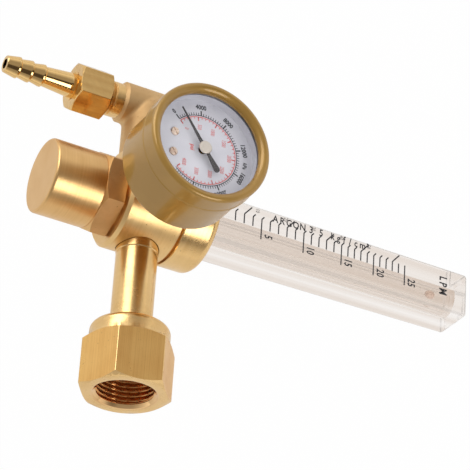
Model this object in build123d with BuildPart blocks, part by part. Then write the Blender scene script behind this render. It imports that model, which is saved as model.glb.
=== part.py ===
"""Argon flowmeter regulator: a brass pressure regulator with a cylinder gauge, a clear
flow tube and a hose outlet. Millimetres, +Z up the flow tube, +X out of the inlet nut.
The origin is the centre of the inlet thread's first turn."""

import os
from math import atan2, cos, degrees, pi, radians, sin, sqrt

from build123d import *

os.makedirs("parts", exist_ok=True)

# Fits
static_fit = 0.05
running_fit = 0.06
loose_fit = 0.1

# Layout of the three axes
inlet_reach = 74.7
outlet_offset = 40.3
body_x = -inlet_reach
outlet_x = body_x - outlet_offset

# Body forging
body_r = 18.5
body_low = -11.6
body_chamfer = 1.25
body_top = 10.6
spigot_r = 16.5
spigot_height = 6.4
arm_r = 9.7
boss_r = 7.7
boss_low = -12.8
boss_high = 10.0
boss_chamfer = 1.2
arm_fillet = 1.8
gauge_boss_r = 9.5
gauge_boss_reach = 1.5

# Regulator chamber
diaphragm_r = 12.9
diaphragm_t = 1.0
diaphragm_dome = 0.8
clamp_z = -7.4
chamber_r = 9.8
chamber_top = -6.2
high_bore_r = 4.5
high_bore_top = 6.5
valve_lift = 0.78
passage_r = 1.5
feed_offset = 8.3
feed_r = 1.2
return_offset = 8.5
return_r = 1.6

# Bonnet
bonnet_thread_r = 13.0
bonnet_hex_af = 28.0
bonnet_face_r = 13.7
bonnet_hex_low = -20.1
bonnet_hex_high = -12.4
bonnet_turn = 4.0
cap_r = 13.95
cap_low = -39.6
cap_round = 1.1
bonnet_bore_r = 10.6
cap_wall = 3.0

# Range spring
range_spring_r = 7.6
range_wire = 1.8
range_turns = 6
spring_button_r = 9.2
spring_button_t = 2.0
pilot_height = 3.0

# Inlet stem and nut
stem_r = 7.6
stem_root_r = 7.75
stem_root_length = 6.9
stem_spigot_r = 5.0
stem_spigot_length = 5.0
stem_shoulder = 13.0
stem_bore_r = 2.0
stem_flange_r = 11.2
stem_flange_t = 4.0
stem_nose_r = 9.2
stem_nose_length = 3.0
inlet_minor_r = 10.3
inlet_thread_length = 11.6
inlet_relief_r = 11.6
countersink_r = 12.05
mouth_x = 1.3
nut_af = 30.0
nut_length = 26.4
nut_back_wall = 4.7
nut_collar_r = 14.5
nut_collar_length = 6.4
nut_collar_round = 2.6
nut_mouth_r = 14.9
nut_turn = 37.6
washer_t = 1.6
filter_r = 4.0
filter_t = 4.0

# Flow tube
collar_r = 19.05
collar_gap = 1.0
collar_lip_t = 4.4
collar_round = 3.0
flange_r = 15.4
flange_t = 3.0
tube_half_base = 9.65
tube_taper = 0.448
tube_corner_r = 2.0
tube_end_wall = 3.8
tube_end_gap = 1.2
outer_bore_r = 5.2
inner_tube_r = 3.8
inner_tube_foot = 5.0
inner_socket_r = 4.4
float_bore_low_r = 2.1
float_bore_high_r = 2.6
ball_r = 1.985
ball_travel = 100.0
stop_gap = 0.05
bottom_stop_length = 8.25
top_stop_length = 5.0
stop_flats = 2.6

# Gauge
case_r = 22.3
case_gap = 8.8
case_depth = 21.95
case_wall = 0.9
case_round = 1.5
bezel_wall = 0.75
bezel_lap = 4.25
bezel_reach = 4.45
bezel_lip = 2.9
lip_reach = 1.85
lens_t = 1.8
dial_depth = 3.55
dial_t = 0.6
dial_gap = 0.5
dial_screw_x = 4.05
dial_screw_z = -11.1
hex_socket_af = 14.0
socket_neck_r = 6.0
port_r = 5.0
port_depth = 9.0
block_reach = 7.7
plate_t = 1.0
pointer_rest = -126.0
pointer_sweep = 261.0
pointer_reach = 16.7
pointer_tail = 8.7
pointer_tail_half = 1.15

# Gauge movement
gear_module = 0.3
pinion_teeth = 10
sector_wheel_teeth = 70
pinion_pitch_r = gear_module * pinion_teeth / 2
sector_pitch_r = gear_module * sector_wheel_teeth / 2
sector_pivot_z = -(pinion_pitch_r + sector_pitch_r)
arbor_r = 0.6
sector_arbor_r = 0.8
tail_x = 5.0
gear_reach = 5.5
gear_t = 0.8
bourdon_gap = 4.9
bourdon_reach = 4.5
bourdon_width = 5.0
bourdon_thickness = 1.6
bourdon_wall = 0.3
bourdon_start = 8.0

# Outlet
nipple_r = 6.55
nipple_hex_af = 17.0
outlet_face_r = 8.2
outlet_nut_low = -31.4
outlet_nut_high = -18.4
outlet_nut_turn = 6.0
nipple_end = -26.0
nipple_bore_r = 2.0
barb_tip = -58.5
barb_bore_r = 1.9
barb_pitch = 4.85
barb_first_crest = -43.7
barb_crest_r = 4.2
barb_root_r = 3.45
barb_end_r = 3.2
barb_land = 0.6
tail_r = 4.55
tail_waist_r = 3.66
needle_seat_z = -2.0
needle_throat_r = 1.2
needle_bore_r = 3.2
gland_thread_r = 5.5
gland_depth = 6.0
gland_hex_af = 13.0
gland_hex_high = 14.5
spindle_r = 2.4
spindle_neck_r = 1.9
knob_r = 9.6
knob_low = 17.6
knob_high = 31.0
knob_flutes = 12


def level(x, z):
    """Horizontal plane centred on a vertical axis."""
    return Plane(origin=(x, 0, z), x_dir=(1, 0, 0), z_dir=(0, 0, 1))


def upright(x):
    """Section plane through a vertical axis: local x is the radius, local y is height."""
    return Plane(origin=(x, 0, 0), x_dir=(1, 0, 0), z_dir=(0, -1, 0))


def inlet_face(x):
    """Plane across the inlet axis, facing +X."""
    return Plane(origin=(x, 0, 0), x_dir=(0, 1, 0), z_dir=(1, 0, 0))


def gauge_face(y):
    """Plane across the gauge axis, facing the reader, with local y up."""
    return Plane(origin=(body_x, y, 0), x_dir=(1, 0, 0), z_dir=(0, -1, 0))


def section(plane, *points):
    """Closed outline of straight sides."""
    with BuildSketch(plane) as drawn:
        with BuildLine():
            Polyline(*points, close=True)
        make_face()
    return drawn.sketch


def coil(radius, wire, low, high, turns, x):
    """Compression spring of round wire standing between two levels."""
    rise = (high - low - wire) / turns
    path = Helix(pitch=rise, height=rise * turns, radius=radius)
    start = Plane(origin=path @ 0, z_dir=path % 0)
    with BuildPart() as wound:
        with BuildSketch(start):
            RegularPolygon(radius=wire / 2, side_count=8)
        sweep(path=path, is_frenet=True)
    return wound.part.moved(Location((x, 0, low + wire / 2)))


body_section = upright(body_x)
body_axis = Axis((body_x, 0, 0), (0, 0, 1))
outlet_section = upright(outlet_x)
outlet_axis = Axis((outlet_x, 0, 0), (0, 0, 1))
gauge_section = Plane(origin=(body_x, 0, 0), x_dir=(1, 0, 0), z_dir=(0, 0, 1))
gauge_axis = Axis((body_x, 0, 0), (0, 1, 0))
bourdon_axis = Axis((body_x, 0, 0), (0, -1, 0))

# Places along the gauge's axis, from the barrel's wall outwards
gauge_boss_y = -(body_r + gauge_boss_reach)
port_floor = gauge_boss_y + port_depth
case_back = gauge_boss_y - case_gap
case_front = case_back - case_depth
bezel_back = case_front + bezel_lap
bezel_front = case_front - bezel_reach
lip_back = case_front - lip_reach
dial_front = case_front + dial_depth
block_front = case_back - block_reach
gear_front = block_front - gear_reach
bourdon_y = case_back - bourdon_reach

# Radii inside the gauge, from its case
bezel_r = case_r + bezel_wall
opening_r = case_r - bezel_lip
dial_r = case_r - case_wall - dial_gap
bourdon_r = case_r - case_wall - bourdon_gap

# Heights of the flow tube, from its foot in the spigot up to the cover's end
spigot_top = body_top + spigot_height
collar_low = body_top + collar_gap
collar_lip_z = spigot_top + flange_t
collar_high = collar_lip_z + collar_lip_t
inner_tube_low = spigot_top - inner_tube_foot
bottom_stop_high = inner_tube_low + bottom_stop_length
ball_z = bottom_stop_high + stop_gap + ball_r + ball_travel
top_stop_low = ball_z + ball_r + stop_gap
inner_tube_top = top_stop_low + top_stop_length
bore_end = inner_tube_top + tube_end_gap
tube_top = bore_end + tube_end_wall
seal_outer_r = flange_r - 1.4
seal_inner_r = seal_outer_r - 1.8
seal_t = 1.25

# Body: one brass forging, a barrel with an arm and an outlet boss, bored for every fitting
boss_arm_end = outlet_x + 4.3
collar_recess_r = 10.3
with BuildPart() as body:
    with BuildSketch(level(outlet_x, boss_low)):
        Circle(boss_r)
    extrude(amount=boss_high - boss_low)
    chamfer(body.edges().group_by(Axis.Z)[0], boss_chamfer)
    with BuildSketch(Plane(origin=(body_x, 0, 0), x_dir=(0, 1, 0), z_dir=(-1, 0, 0))):
        Circle(arm_r)
    extrude(amount=body_x - boss_arm_end)
    with Locations((boss_arm_end, 0, 0)):
        Sphere(arm_r)
    # forging fillet where the arm runs into the boss
    creases = body.edges().filter_by(GeomType.BSPLINE)
    fillet(creases.filter_by_position(Axis.Z, boss_low, boss_high - arm_fillet), arm_fillet)
    revolve(
        section(
            body_section,
            (0, body_low),
            (body_r - body_chamfer, body_low),
            (body_r, body_low + body_chamfer),
            (body_r, body_top),
            (spigot_r, body_top),
            (spigot_r, spigot_top),
            (0, spigot_top),
        ),
        axis=body_axis,
    )
    with BuildSketch(gauge_face(0)):
        Circle(gauge_boss_r)
    extrude(amount=-gauge_boss_y)
    # chambers under the bonnet
    revolve(
        section(
            body_section,
            (0, body_low),
            (bonnet_thread_r + static_fit, body_low),
            (bonnet_thread_r + static_fit, clamp_z),
            (chamber_r, clamp_z),
            (chamber_r, chamber_top),
            (high_bore_r, chamber_top),
            (high_bore_r, high_bore_top),
            (0, high_bore_top),
        ),
        axis=body_axis,
        mode=Mode.SUBTRACT,
    )
    # inlet port with its counterbore for the stem
    with BuildSketch(inlet_face(body_x)):
        Circle(passage_r)
    extrude(amount=body_r, mode=Mode.SUBTRACT)
    with BuildSketch(inlet_face(body_x + stem_shoulder - stem_spigot_length)):
        Circle(stem_spigot_r + static_fit)
    extrude(amount=body_r, mode=Mode.SUBTRACT)
    with BuildSketch(inlet_face(body_x + stem_shoulder)):
        Circle(stem_root_r + 0.2)
    extrude(amount=body_r, mode=Mode.SUBTRACT)
    # gauge port
    with BuildSketch(gauge_face(0)):
        Circle(passage_r)
    extrude(amount=-gauge_boss_y, mode=Mode.SUBTRACT)
    with BuildSketch(gauge_face(port_floor)):
        Circle(port_r)
    extrude(amount=port_floor - gauge_boss_y, mode=Mode.SUBTRACT)
    # feed from the low pressure chamber to the foot of the flow tube
    feed_z = inner_tube_low - 2
    feed_floor = feed_z - feed_r - 0.4
    with BuildSketch(Plane(origin=(body_x, feed_offset, chamber_top), z_dir=(0, 0, 1))):
        Circle(feed_r)
    extrude(amount=feed_z - chamber_top, mode=Mode.SUBTRACT)
    with BuildSketch(Plane(origin=(body_x, 0, feed_z), z_dir=(0, 1, 0))):
        Circle(feed_r)
    extrude(amount=feed_offset, mode=Mode.SUBTRACT)
    # seats of the two tubes
    revolve(
        section(
            body_section,
            (0, feed_floor),
            (float_bore_low_r + 0.6, feed_floor),
            (float_bore_low_r + 0.6, inner_tube_low),
            (inner_socket_r, inner_tube_low),
            (inner_socket_r, spigot_top - 1),
            (collar_recess_r, spigot_top - 1),
            (collar_recess_r, spigot_top),
            (0, spigot_top),
        ),
        axis=body_axis,
        mode=Mode.SUBTRACT,
    )
    # groove for the tube's seal
    with BuildSketch(level(body_x, spigot_top - seal_t - 0.05)):
        Circle(seal_outer_r + 0.2)
        Circle(seal_inner_r - 0.2, mode=Mode.SUBTRACT)
    extrude(amount=seal_t + 0.05, mode=Mode.SUBTRACT)
    # return from the flow tube to the arm
    with BuildSketch(level(body_x - return_offset, -0.6)):
        Circle(return_r)
    extrude(amount=spigot_top + 0.6, mode=Mode.SUBTRACT)
    with BuildSketch(
        Plane(origin=(body_x - return_offset, 0, 0), x_dir=(0, 1, 0), z_dir=(-1, 0, 0))
    ):
        Circle(passage_r)
    extrude(amount=outlet_offset - return_offset, mode=Mode.SUBTRACT)
    # needle valve chamber and nipple port in the boss
    revolve(
        section(
            outlet_section,
            (0, boss_low),
            (nipple_r + static_fit, boss_low),
            (nipple_r + static_fit, -6.0),
            (nipple_bore_r, -6.0),
            (nipple_bore_r, needle_seat_z - 1.5),
            (needle_throat_r, needle_seat_z - 1.5),
            (needle_throat_r, needle_seat_z),
            (needle_bore_r, needle_seat_z),
            (needle_bore_r, boss_high - gland_depth),
            (gland_thread_r + static_fit, boss_high - gland_depth),
            (gland_thread_r + static_fit, boss_high),
            (0, boss_high),
        ),
        axis=outlet_axis,
        mode=Mode.SUBTRACT,
    )
body.part.label = "body"
export_step(body.part, "parts/body.step")

# Valve seat: threaded brass insert with a raised seat
seat_low = chamber_top - 0.4
seat_high = -1.6
orifice_r = 1.2
with BuildPart() as valve_seat:
    revolve(
        section(
            body_section,
            (orifice_r, chamber_top),
            (high_bore_r - static_fit, chamber_top),
            (high_bore_r - static_fit, seat_high - 0.6),
            (orifice_r + 0.8, seat_high - 0.6),
            (orifice_r + 0.4, seat_high),
            (orifice_r, seat_high),
        ),
        axis=body_axis,
    )
valve_seat.part.label = "valve_seat"
export_step(valve_seat.part, "parts/valve_seat.step")

# Poppet: disc, push pin below and guide stem above, lifted off its seat at rest
poppet_disc_low = seat_high + valve_lift
poppet_disc_high = poppet_disc_low + 1.8
diaphragm_centre_top = clamp_z + diaphragm_dome
with BuildPart() as poppet:
    revolve(
        section(
            body_section,
            (0, diaphragm_centre_top),
            (0.7, diaphragm_centre_top),
            (0.7, poppet_disc_low),
            (2.6, poppet_disc_low),
            (2.6, poppet_disc_high),
            (1.2, poppet_disc_high),
            (1.2, high_bore_top - 2.2),
            (0, high_bore_top - 2.2),
        ),
        axis=body_axis,
    )
poppet.part.label = "poppet"
export_step(poppet.part, "parts/poppet.step")

poppet_spring_part = coil(2.0, 0.5, poppet_disc_high, high_bore_top, 4, body_x)
poppet_spring_part.label = "poppet_spring"
export_step(poppet_spring_part, "parts/poppet_spring.step")

# Diaphragm: moulded rubber with one convolution, its rim under the bonnet
clamp_low = clamp_z - diaphragm_t
with BuildPart() as diaphragm:
    revolve(
        section(
            body_section,
            (0, clamp_low + diaphragm_dome),
            (chamber_r - 1.6, clamp_low + diaphragm_dome),
            (chamber_r - 0.4, clamp_low),
            (diaphragm_r, clamp_low),
            (diaphragm_r, clamp_z),
            (chamber_r - 0.1, clamp_z),
            (chamber_r - 1.3, clamp_z + diaphragm_dome),
            (0, clamp_z + diaphragm_dome),
        ),
        axis=body_axis,
    )
diaphragm.part.label = "diaphragm"
export_step(diaphragm.part, "parts/diaphragm.step")

# Diaphragm plate: brass disc that the range spring pushes up, with a pilot for the spring
plate_top = clamp_low + diaphragm_dome
plate_low = plate_top - 1.8
with BuildPart() as diaphragm_plate:
    revolve(
        section(
            body_section,
            (0, plate_top),
            (chamber_r - 1.8, plate_top),
            (chamber_r - 1.8, plate_top - 0.6),
            (chamber_r - 0.8, plate_top - 0.9),
            (chamber_r - 0.8, plate_low),
            (range_spring_r - range_wire / 2 - 0.4, plate_low),
            (range_spring_r - range_wire / 2 - 0.8, plate_low - pilot_height),
            (0, plate_low - pilot_height),
        ),
        axis=body_axis,
    )
diaphragm_plate.part.label = "diaphragm_plate"
export_step(diaphragm_plate.part, "parts/diaphragm_plate.step")

# Bonnet: a closed cap turned from hexagon bar, threaded into the body
bonnet_hex_r = bonnet_hex_af / sqrt(3)
hex_chamfer = (bonnet_hex_r - bonnet_face_r) * 0.577
cap_floor = cap_low + cap_wall
with BuildPart() as bonnet:
    with BuildSketch(level(body_x, bonnet_hex_low)):
        RegularPolygon(radius=bonnet_hex_r, side_count=6, rotation=bonnet_turn)
    extrude(amount=bonnet_hex_high - bonnet_hex_low)
    revolve(
        section(
            body_section,
            (0, bonnet_hex_low),
            (bonnet_face_r, bonnet_hex_low),
            (bonnet_hex_r, bonnet_hex_low + hex_chamfer),
            (bonnet_hex_r, bonnet_hex_high - hex_chamfer / 3),
            (bonnet_hex_r - hex_chamfer / 3, bonnet_hex_high),
            (0, bonnet_hex_high),
        ),
        axis=body_axis,
        mode=Mode.INTERSECT,
    )
    with BuildSketch(level(body_x, cap_low)):
        Circle(cap_r)
    extrude(amount=bonnet_hex_low - cap_low)
    fillet(bonnet.edges().group_by(Axis.Z)[0], cap_round)
    with BuildSketch(level(body_x, bonnet_hex_high)):
        Circle(bonnet_thread_r)
    extrude(amount=clamp_low - bonnet_hex_high)
    with BuildSketch(level(body_x, cap_floor)):
        Circle(bonnet_bore_r)
    extrude(amount=clamp_low - cap_floor, mode=Mode.SUBTRACT)
bonnet.part.label = "bonnet"
export_step(bonnet.part, "parts/bonnet.step")

# Spring button: seats the range spring on the bonnet's floor
with BuildPart() as spring_button:
    revolve(
        section(
            body_section,
            (0, cap_floor),
            (spring_button_r, cap_floor),
            (spring_button_r, cap_floor + spring_button_t),
            (range_spring_r - range_wire / 2 - 0.4, cap_floor + spring_button_t),
            (range_spring_r - range_wire / 2 - 0.8, cap_floor + spring_button_t + pilot_height),
            (0, cap_floor + spring_button_t + pilot_height),
        ),
        axis=body_axis,
    )
spring_button.part.label = "spring_button"
export_step(spring_button.part, "parts/spring_button.step")

range_spring_part = coil(
    range_spring_r, range_wire, cap_floor + spring_button_t, plate_low, range_turns, body_x
)
range_spring_part.label = "range_spring"
export_step(range_spring_part, "parts/range_spring.step")

# Inlet stem: turned brass tube, spigot in the body, flange and nose inside the nut
nut_back = mouth_x - nut_length
flange_back = nut_back + nut_back_wall + loose_fit
flange_front = flange_back + stem_flange_t
nose_end = flange_front + stem_nose_length
shoulder_x = body_x + stem_shoulder
with BuildPart() as inlet_stem:
    revolve(
        section(
            Plane.XY,
            (shoulder_x - stem_spigot_length, stem_bore_r),
            (shoulder_x - stem_spigot_length, stem_spigot_r),
            (shoulder_x, stem_spigot_r),
            (shoulder_x, stem_root_r),
            (shoulder_x + stem_root_length, stem_root_r),
            (shoulder_x + stem_root_length + 0.4, stem_r),
            (flange_back, stem_r),
            (flange_back, stem_flange_r),
            (flange_front, stem_flange_r),
            (flange_front, stem_nose_r),
            (nose_end, stem_nose_r),
            (nose_end, filter_r + static_fit),
            (nose_end - filter_t, filter_r + static_fit),
            (nose_end - filter_t, stem_bore_r),
        ),
        axis=Axis.X,
    )
inlet_stem.part.label = "inlet_stem"
export_step(inlet_stem.part, "parts/inlet_stem.step")

# Inlet filter: sintered bronze disc with a domed face
with BuildPart() as inlet_filter:
    revolve(
        section(
            Plane.XY,
            (nose_end - filter_t, 0),
            (nose_end - filter_t, filter_r),
            (nose_end - 0.8, filter_r),
            (nose_end - 0.2, filter_r - 1.0),
            (nose_end - 0.2, 0),
        ),
        axis=Axis.X,
    )
inlet_filter.part.label = "inlet_filter"
export_step(inlet_filter.part, "parts/inlet_filter.step")

# Inlet washer: flat nylon seal on the nose
with BuildPart() as inlet_washer:
    with BuildSketch(inlet_face(nose_end)):
        Circle(stem_nose_r)
        Circle(filter_r + 0.6, mode=Mode.SUBTRACT)
    extrude(amount=washer_t)
inlet_washer.part.label = "inlet_washer"
export_step(inlet_washer.part, "parts/inlet_washer.step")

# Inlet nut: round collar and chamfered hexagon, internal parallel thread
nut_hex_r = nut_af / sqrt(3)
nut_hex_back = nut_back + nut_collar_length
nut_back_chamfer = (nut_hex_r - nut_collar_r) * 0.577
nut_front_chamfer = (nut_hex_r - nut_mouth_r) * 0.577
with BuildPart() as inlet_nut:
    with BuildSketch(inlet_face(nut_hex_back)):
        RegularPolygon(radius=nut_hex_r, side_count=6, rotation=nut_turn)
    extrude(amount=mouth_x - nut_hex_back)
    revolve(
        section(
            Plane.XY,
            (nut_hex_back, 0),
            (nut_hex_back, nut_collar_r),
            (nut_hex_back + nut_back_chamfer, nut_hex_r),
            (mouth_x - nut_front_chamfer, nut_hex_r),
            (mouth_x, nut_mouth_r),
            (mouth_x, 0),
        ),
        axis=Axis.X,
        mode=Mode.INTERSECT,
    )
    with BuildSketch(inlet_face(nut_back)):
        Circle(nut_collar_r)
    extrude(amount=nut_collar_length)
    fillet(inlet_nut.edges().group_by(Axis.X)[0], nut_collar_round)
    revolve(
        section(
            Plane.XY,
            (nut_back, 0),
            (nut_back, stem_r + loose_fit),
            (nut_back + nut_back_wall, stem_r + loose_fit),
            (nut_back + nut_back_wall, inlet_relief_r),
            (-inlet_thread_length, inlet_relief_r),
            (-inlet_thread_length, inlet_minor_r),
            (0, inlet_minor_r),
            (mouth_x, countersink_r),
            (mouth_x, 0),
        ),
        axis=Axis.X,
        mode=Mode.SUBTRACT,
    )
inlet_nut.part.label = "inlet_nut"
export_step(inlet_nut.part, "parts/inlet_nut.step")

# Tube collar: round ring nut that clamps the foot of the flow tube
lip_r = (tube_half_base - tube_corner_r) * sqrt(2) + tube_corner_r + 0.08
with BuildPart() as tube_collar:
    with BuildSketch(level(body_x, collar_low)):
        Circle(collar_r)
    extrude(amount=collar_high - collar_low)
    fillet(tube_collar.edges().group_by(Axis.Z)[-1], collar_round)
    chamfer(tube_collar.edges().group_by(Axis.Z)[0], 0.3)
    revolve(
        section(
            body_section,
            (0, collar_low),
            (spigot_r + static_fit, collar_low),
            (spigot_r + static_fit, spigot_top + 0.2),
            (flange_r + 0.2, spigot_top + 0.2),
            (flange_r + 0.2, collar_lip_z),
            (lip_r, collar_lip_z),
            (lip_r, collar_high),
            (0, collar_high),
        ),
        axis=body_axis,
        mode=Mode.SUBTRACT,
    )
tube_collar.part.label = "tube_collar"
export_step(tube_collar.part, "parts/tube_collar.step")

# Flow tube cover: moulded square tube with draft, round foot, blind bore
with BuildPart() as flow_tube_cover:
    with BuildSketch(level(body_x, collar_lip_z)):
        RectangleRounded(2 * tube_half_base, 2 * tube_half_base, tube_corner_r)
    extrude(amount=tube_top - collar_lip_z, taper=tube_taper)
    fillet(flow_tube_cover.edges().group_by(Axis.Z)[-1], 1.5)
    with BuildSketch(level(body_x, spigot_top)):
        Circle(flange_r)
    extrude(amount=collar_lip_z - spigot_top)
    with BuildSketch(level(body_x, spigot_top)):
        Circle(outer_bore_r)
    extrude(amount=bore_end - spigot_top, mode=Mode.SUBTRACT)
flow_tube_cover.part.label = "flow_tube_cover"
export_step(flow_tube_cover.part, "parts/flow_tube_cover.step")

# Tube seal under the foot
with BuildPart() as tube_seal:
    revolve(
        section(
            body_section,
            (seal_inner_r, spigot_top - seal_t),
            (seal_outer_r, spigot_top - seal_t),
            (seal_outer_r, spigot_top - 0.02),
            (seal_inner_r, spigot_top - 0.02),
        ),
        axis=body_axis,
    )
    fillet(tube_seal.edges(), 0.4)
tube_seal.part.label = "tube_seal"
export_step(tube_seal.part, "parts/tube_seal.step")

# Inner tube: clear tapered flow tube, open at the top under the cover's end
with BuildPart() as inner_tube:
    revolve(
        section(
            body_section,
            (float_bore_low_r, inner_tube_low),
            (inner_tube_r, inner_tube_low),
            (inner_tube_r, inner_tube_top),
            (float_bore_high_r, inner_tube_top),
        ),
        axis=body_axis,
    )
inner_tube.part.label = "inner_tube"
export_step(inner_tube.part, "parts/inner_tube.step")

# Inner tube seal in its socket
with BuildPart() as inner_tube_seal:
    revolve(
        section(
            body_section,
            (inner_tube_r + 0.02, inner_tube_low + 0.6),
            (inner_socket_r - 0.02, inner_tube_low + 0.6),
            (inner_socket_r - 0.02, inner_tube_low + 3.4),
            (inner_tube_r + 0.02, inner_tube_low + 3.4),
        ),
        axis=body_axis,
    )
inner_tube_seal.part.label = "inner_tube_seal"
export_step(inner_tube_seal.part, "parts/inner_tube_seal.step")

with BuildPart() as float_ball:
    with Locations((body_x, 0, ball_z)):
        Sphere(ball_r)
float_ball.part.label = "float_ball"
export_step(float_ball.part, "parts/float_ball.step")


def float_bore(z):
    """Radius of the inner tube's tapered bore at a height."""
    share = (z - inner_tube_low) / (inner_tube_top - inner_tube_low)
    return float_bore_low_r + share * (float_bore_high_r - float_bore_low_r)


def ball_stop(low, high):
    """Pressed plug with two flats that let the gas past."""
    with BuildPart() as plug:
        revolve(
            section(
                body_section,
                (0, low),
                (float_bore(low) - 0.01, low),
                (float_bore(high) - 0.01, high),
                (0, high),
            ),
            axis=body_axis,
        )
        with BuildSketch(level(body_x, low)):
            Rectangle(2 * float_bore_high_r + 1, stop_flats)
        extrude(amount=high - low, mode=Mode.INTERSECT)
    return plug.part


# Ball stops: a flatted plug at each end of the inner tube
top_stop = ball_stop(top_stop_low, inner_tube_top)
top_stop.label = "ball_stop_top"
export_step(top_stop, "parts/ball_stop_top.step")

bottom_stop = ball_stop(inner_tube_low, bottom_stop_high)
bottom_stop.label = "ball_stop_bottom"
export_step(bottom_stop, "parts/ball_stop_bottom.step")

# Gauge washer and gauge socket
washer_front = gauge_boss_y - 1.0
with BuildPart() as gauge_washer:
    with BuildSketch(gauge_face(gauge_boss_y)):
        Circle(gauge_boss_r - 1.3)
        Circle(port_r + static_fit, mode=Mode.SUBTRACT)
    extrude(amount=1.0)
gauge_washer.part.label = "gauge_washer"
export_step(gauge_washer.part, "parts/gauge_washer.step")

case_inside = case_back - case_wall
block_width = 11.0
block_low = -(bourdon_r + 2.2)
block_high = 6.5
with BuildPart() as gauge_socket:
    with BuildSketch(gauge_face(port_floor - 0.5)):
        Circle(port_r - static_fit)
    extrude(amount=port_floor - 0.5 - washer_front)
    with BuildSketch(gauge_face(washer_front)):
        RegularPolygon(radius=hex_socket_af / sqrt(3), side_count=6)
    extrude(amount=washer_front - case_back)
    with BuildSketch(gauge_face(case_back)):
        Circle(socket_neck_r)
    extrude(amount=case_wall)
    with BuildSketch(gauge_face(case_inside)):
        with Locations((0, (block_high + block_low) / 2)):
            Rectangle(block_width, block_high - block_low)
    extrude(amount=case_inside - block_front)
    with BuildSketch(gauge_face(port_floor - 0.5)):
        Circle(passage_r)
    extrude(amount=port_floor - 0.5 - bourdon_y, mode=Mode.SUBTRACT)
    with BuildSketch(Plane(origin=(body_x, bourdon_y, 0), z_dir=(0, 0, -1))):
        Circle(0.8)
    extrude(amount=bourdon_r, mode=Mode.SUBTRACT)
    # pocket that the Bourdon tube is brazed into
    with BuildSketch(gauge_section):
        with Locations((bourdon_r, bourdon_y)):
            SlotOverall(
                bourdon_width + 2 * static_fit, bourdon_thickness + 2 * static_fit, rotation=90
            )
    revolve(axis=bourdon_axis, revolution_arc=270, mode=Mode.SUBTRACT)
gauge_socket.part.label = "gauge_socket"
export_step(gauge_socket.part, "parts/gauge_socket.step")

# Gauge case: drawn steel cup
with BuildPart() as gauge_case:
    with BuildSketch(gauge_face(case_back)):
        Circle(case_r)
    extrude(amount=case_back - case_front)
    fillet(gauge_case.edges().group_by(Axis.Y)[-1], case_round)
    with BuildSketch(gauge_face(case_inside)):
        Circle(case_r - case_wall)
    extrude(amount=case_inside - case_front, mode=Mode.SUBTRACT)
    with BuildSketch(gauge_face(case_back)):
        Circle(socket_neck_r + static_fit)
    extrude(amount=case_wall, mode=Mode.SUBTRACT)
gauge_case.part.label = "gauge_case"
export_step(gauge_case.part, "parts/gauge_case.step")

# Bezel: rolled ring over the case, a rounded front and a beaded back edge
with BuildPart() as gauge_bezel:
    with BuildSketch(gauge_section):
        with BuildLine():
            Polyline(
                (opening_r, lip_back),
                (opening_r + 1.6, lip_back),
                (opening_r + 1.6, lip_back + lens_t),
                (case_r + static_fit, lip_back + lens_t),
                (case_r + static_fit, bezel_back),
                (bezel_r + 0.15, bezel_back),
                (bezel_r + 0.15, bezel_back - 0.8),
                (bezel_r, bezel_back - 1.2),
                (bezel_r, bezel_front + 1.4),
            )
            ThreePointArc(
                (bezel_r, bezel_front + 1.4),
                (bezel_r - 0.5, bezel_front + 0.4),
                (bezel_r - 1.7, bezel_front),
            )
            ThreePointArc(
                (bezel_r - 1.7, bezel_front),
                (opening_r + 0.6, bezel_front + 0.8),
                (opening_r, lip_back - 0.7),
            )
            Line((opening_r, lip_back - 0.7), (opening_r, lip_back))
        make_face()
    revolve(axis=gauge_axis)
gauge_bezel.part.label = "gauge_bezel"
export_step(gauge_bezel.part, "parts/gauge_bezel.step")

# Lens, its spacer ring and the dial
with BuildPart() as gauge_lens:
    with BuildSketch(gauge_face(lip_back + lens_t)):
        Circle(opening_r + 1.6 - static_fit)
    extrude(amount=lens_t)
gauge_lens.part.label = "gauge_lens"
export_step(gauge_lens.part, "parts/gauge_lens.step")

with BuildPart() as dial_ring:
    with BuildSketch(gauge_face(dial_front)):
        Circle(case_r - case_wall - static_fit)
        Circle(opening_r + 0.4, mode=Mode.SUBTRACT)
    extrude(amount=dial_front - lip_back - lens_t)
dial_ring.part.label = "dial_ring"
export_step(dial_ring.part, "parts/dial_ring.step")

dial_back = dial_front + dial_t
with BuildPart() as gauge_dial:
    with BuildSketch(gauge_face(dial_back)):
        Circle(dial_r)
        Circle(arbor_r + 0.9, mode=Mode.SUBTRACT)
        with Locations((-dial_screw_x, dial_screw_z), (dial_screw_x, dial_screw_z)):
            Circle(0.8, mode=Mode.SUBTRACT)
    extrude(amount=dial_t)
gauge_dial.part.label = "gauge_dial"
export_step(gauge_dial.part, "parts/gauge_dial.step")

# Movement plates with pillars, and the screws that hold the dial
back_plate_front = block_front - plate_t
front_plate_back = dial_back + 2.4
front_plate_front = front_plate_back - plate_t
plate_outline = [(-9.5, 5.5), (9.5, 5.5), (9.5, -9.5), (6.5, -16.0), (-6.5, -16.0), (-9.5, -9.5)]
pillars = [(-8.0, 3.8), (8.0, 3.8)]
with BuildPart() as movement_back_plate:
    with BuildSketch(gauge_face(block_front)):
        with BuildLine():
            Polyline(*plate_outline, close=True)
        make_face()
        Circle(arbor_r + running_fit, mode=Mode.SUBTRACT)
        with Locations((0, sector_pivot_z)):
            Circle(sector_arbor_r + running_fit, mode=Mode.SUBTRACT)
    extrude(amount=plate_t)
    with BuildSketch(gauge_face(back_plate_front)):
        with Locations(*pillars):
            Circle(1.1)
    extrude(amount=back_plate_front - front_plate_back)
movement_back_plate.part.label = "movement_back_plate"
export_step(movement_back_plate.part, "parts/movement_back_plate.step")

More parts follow.
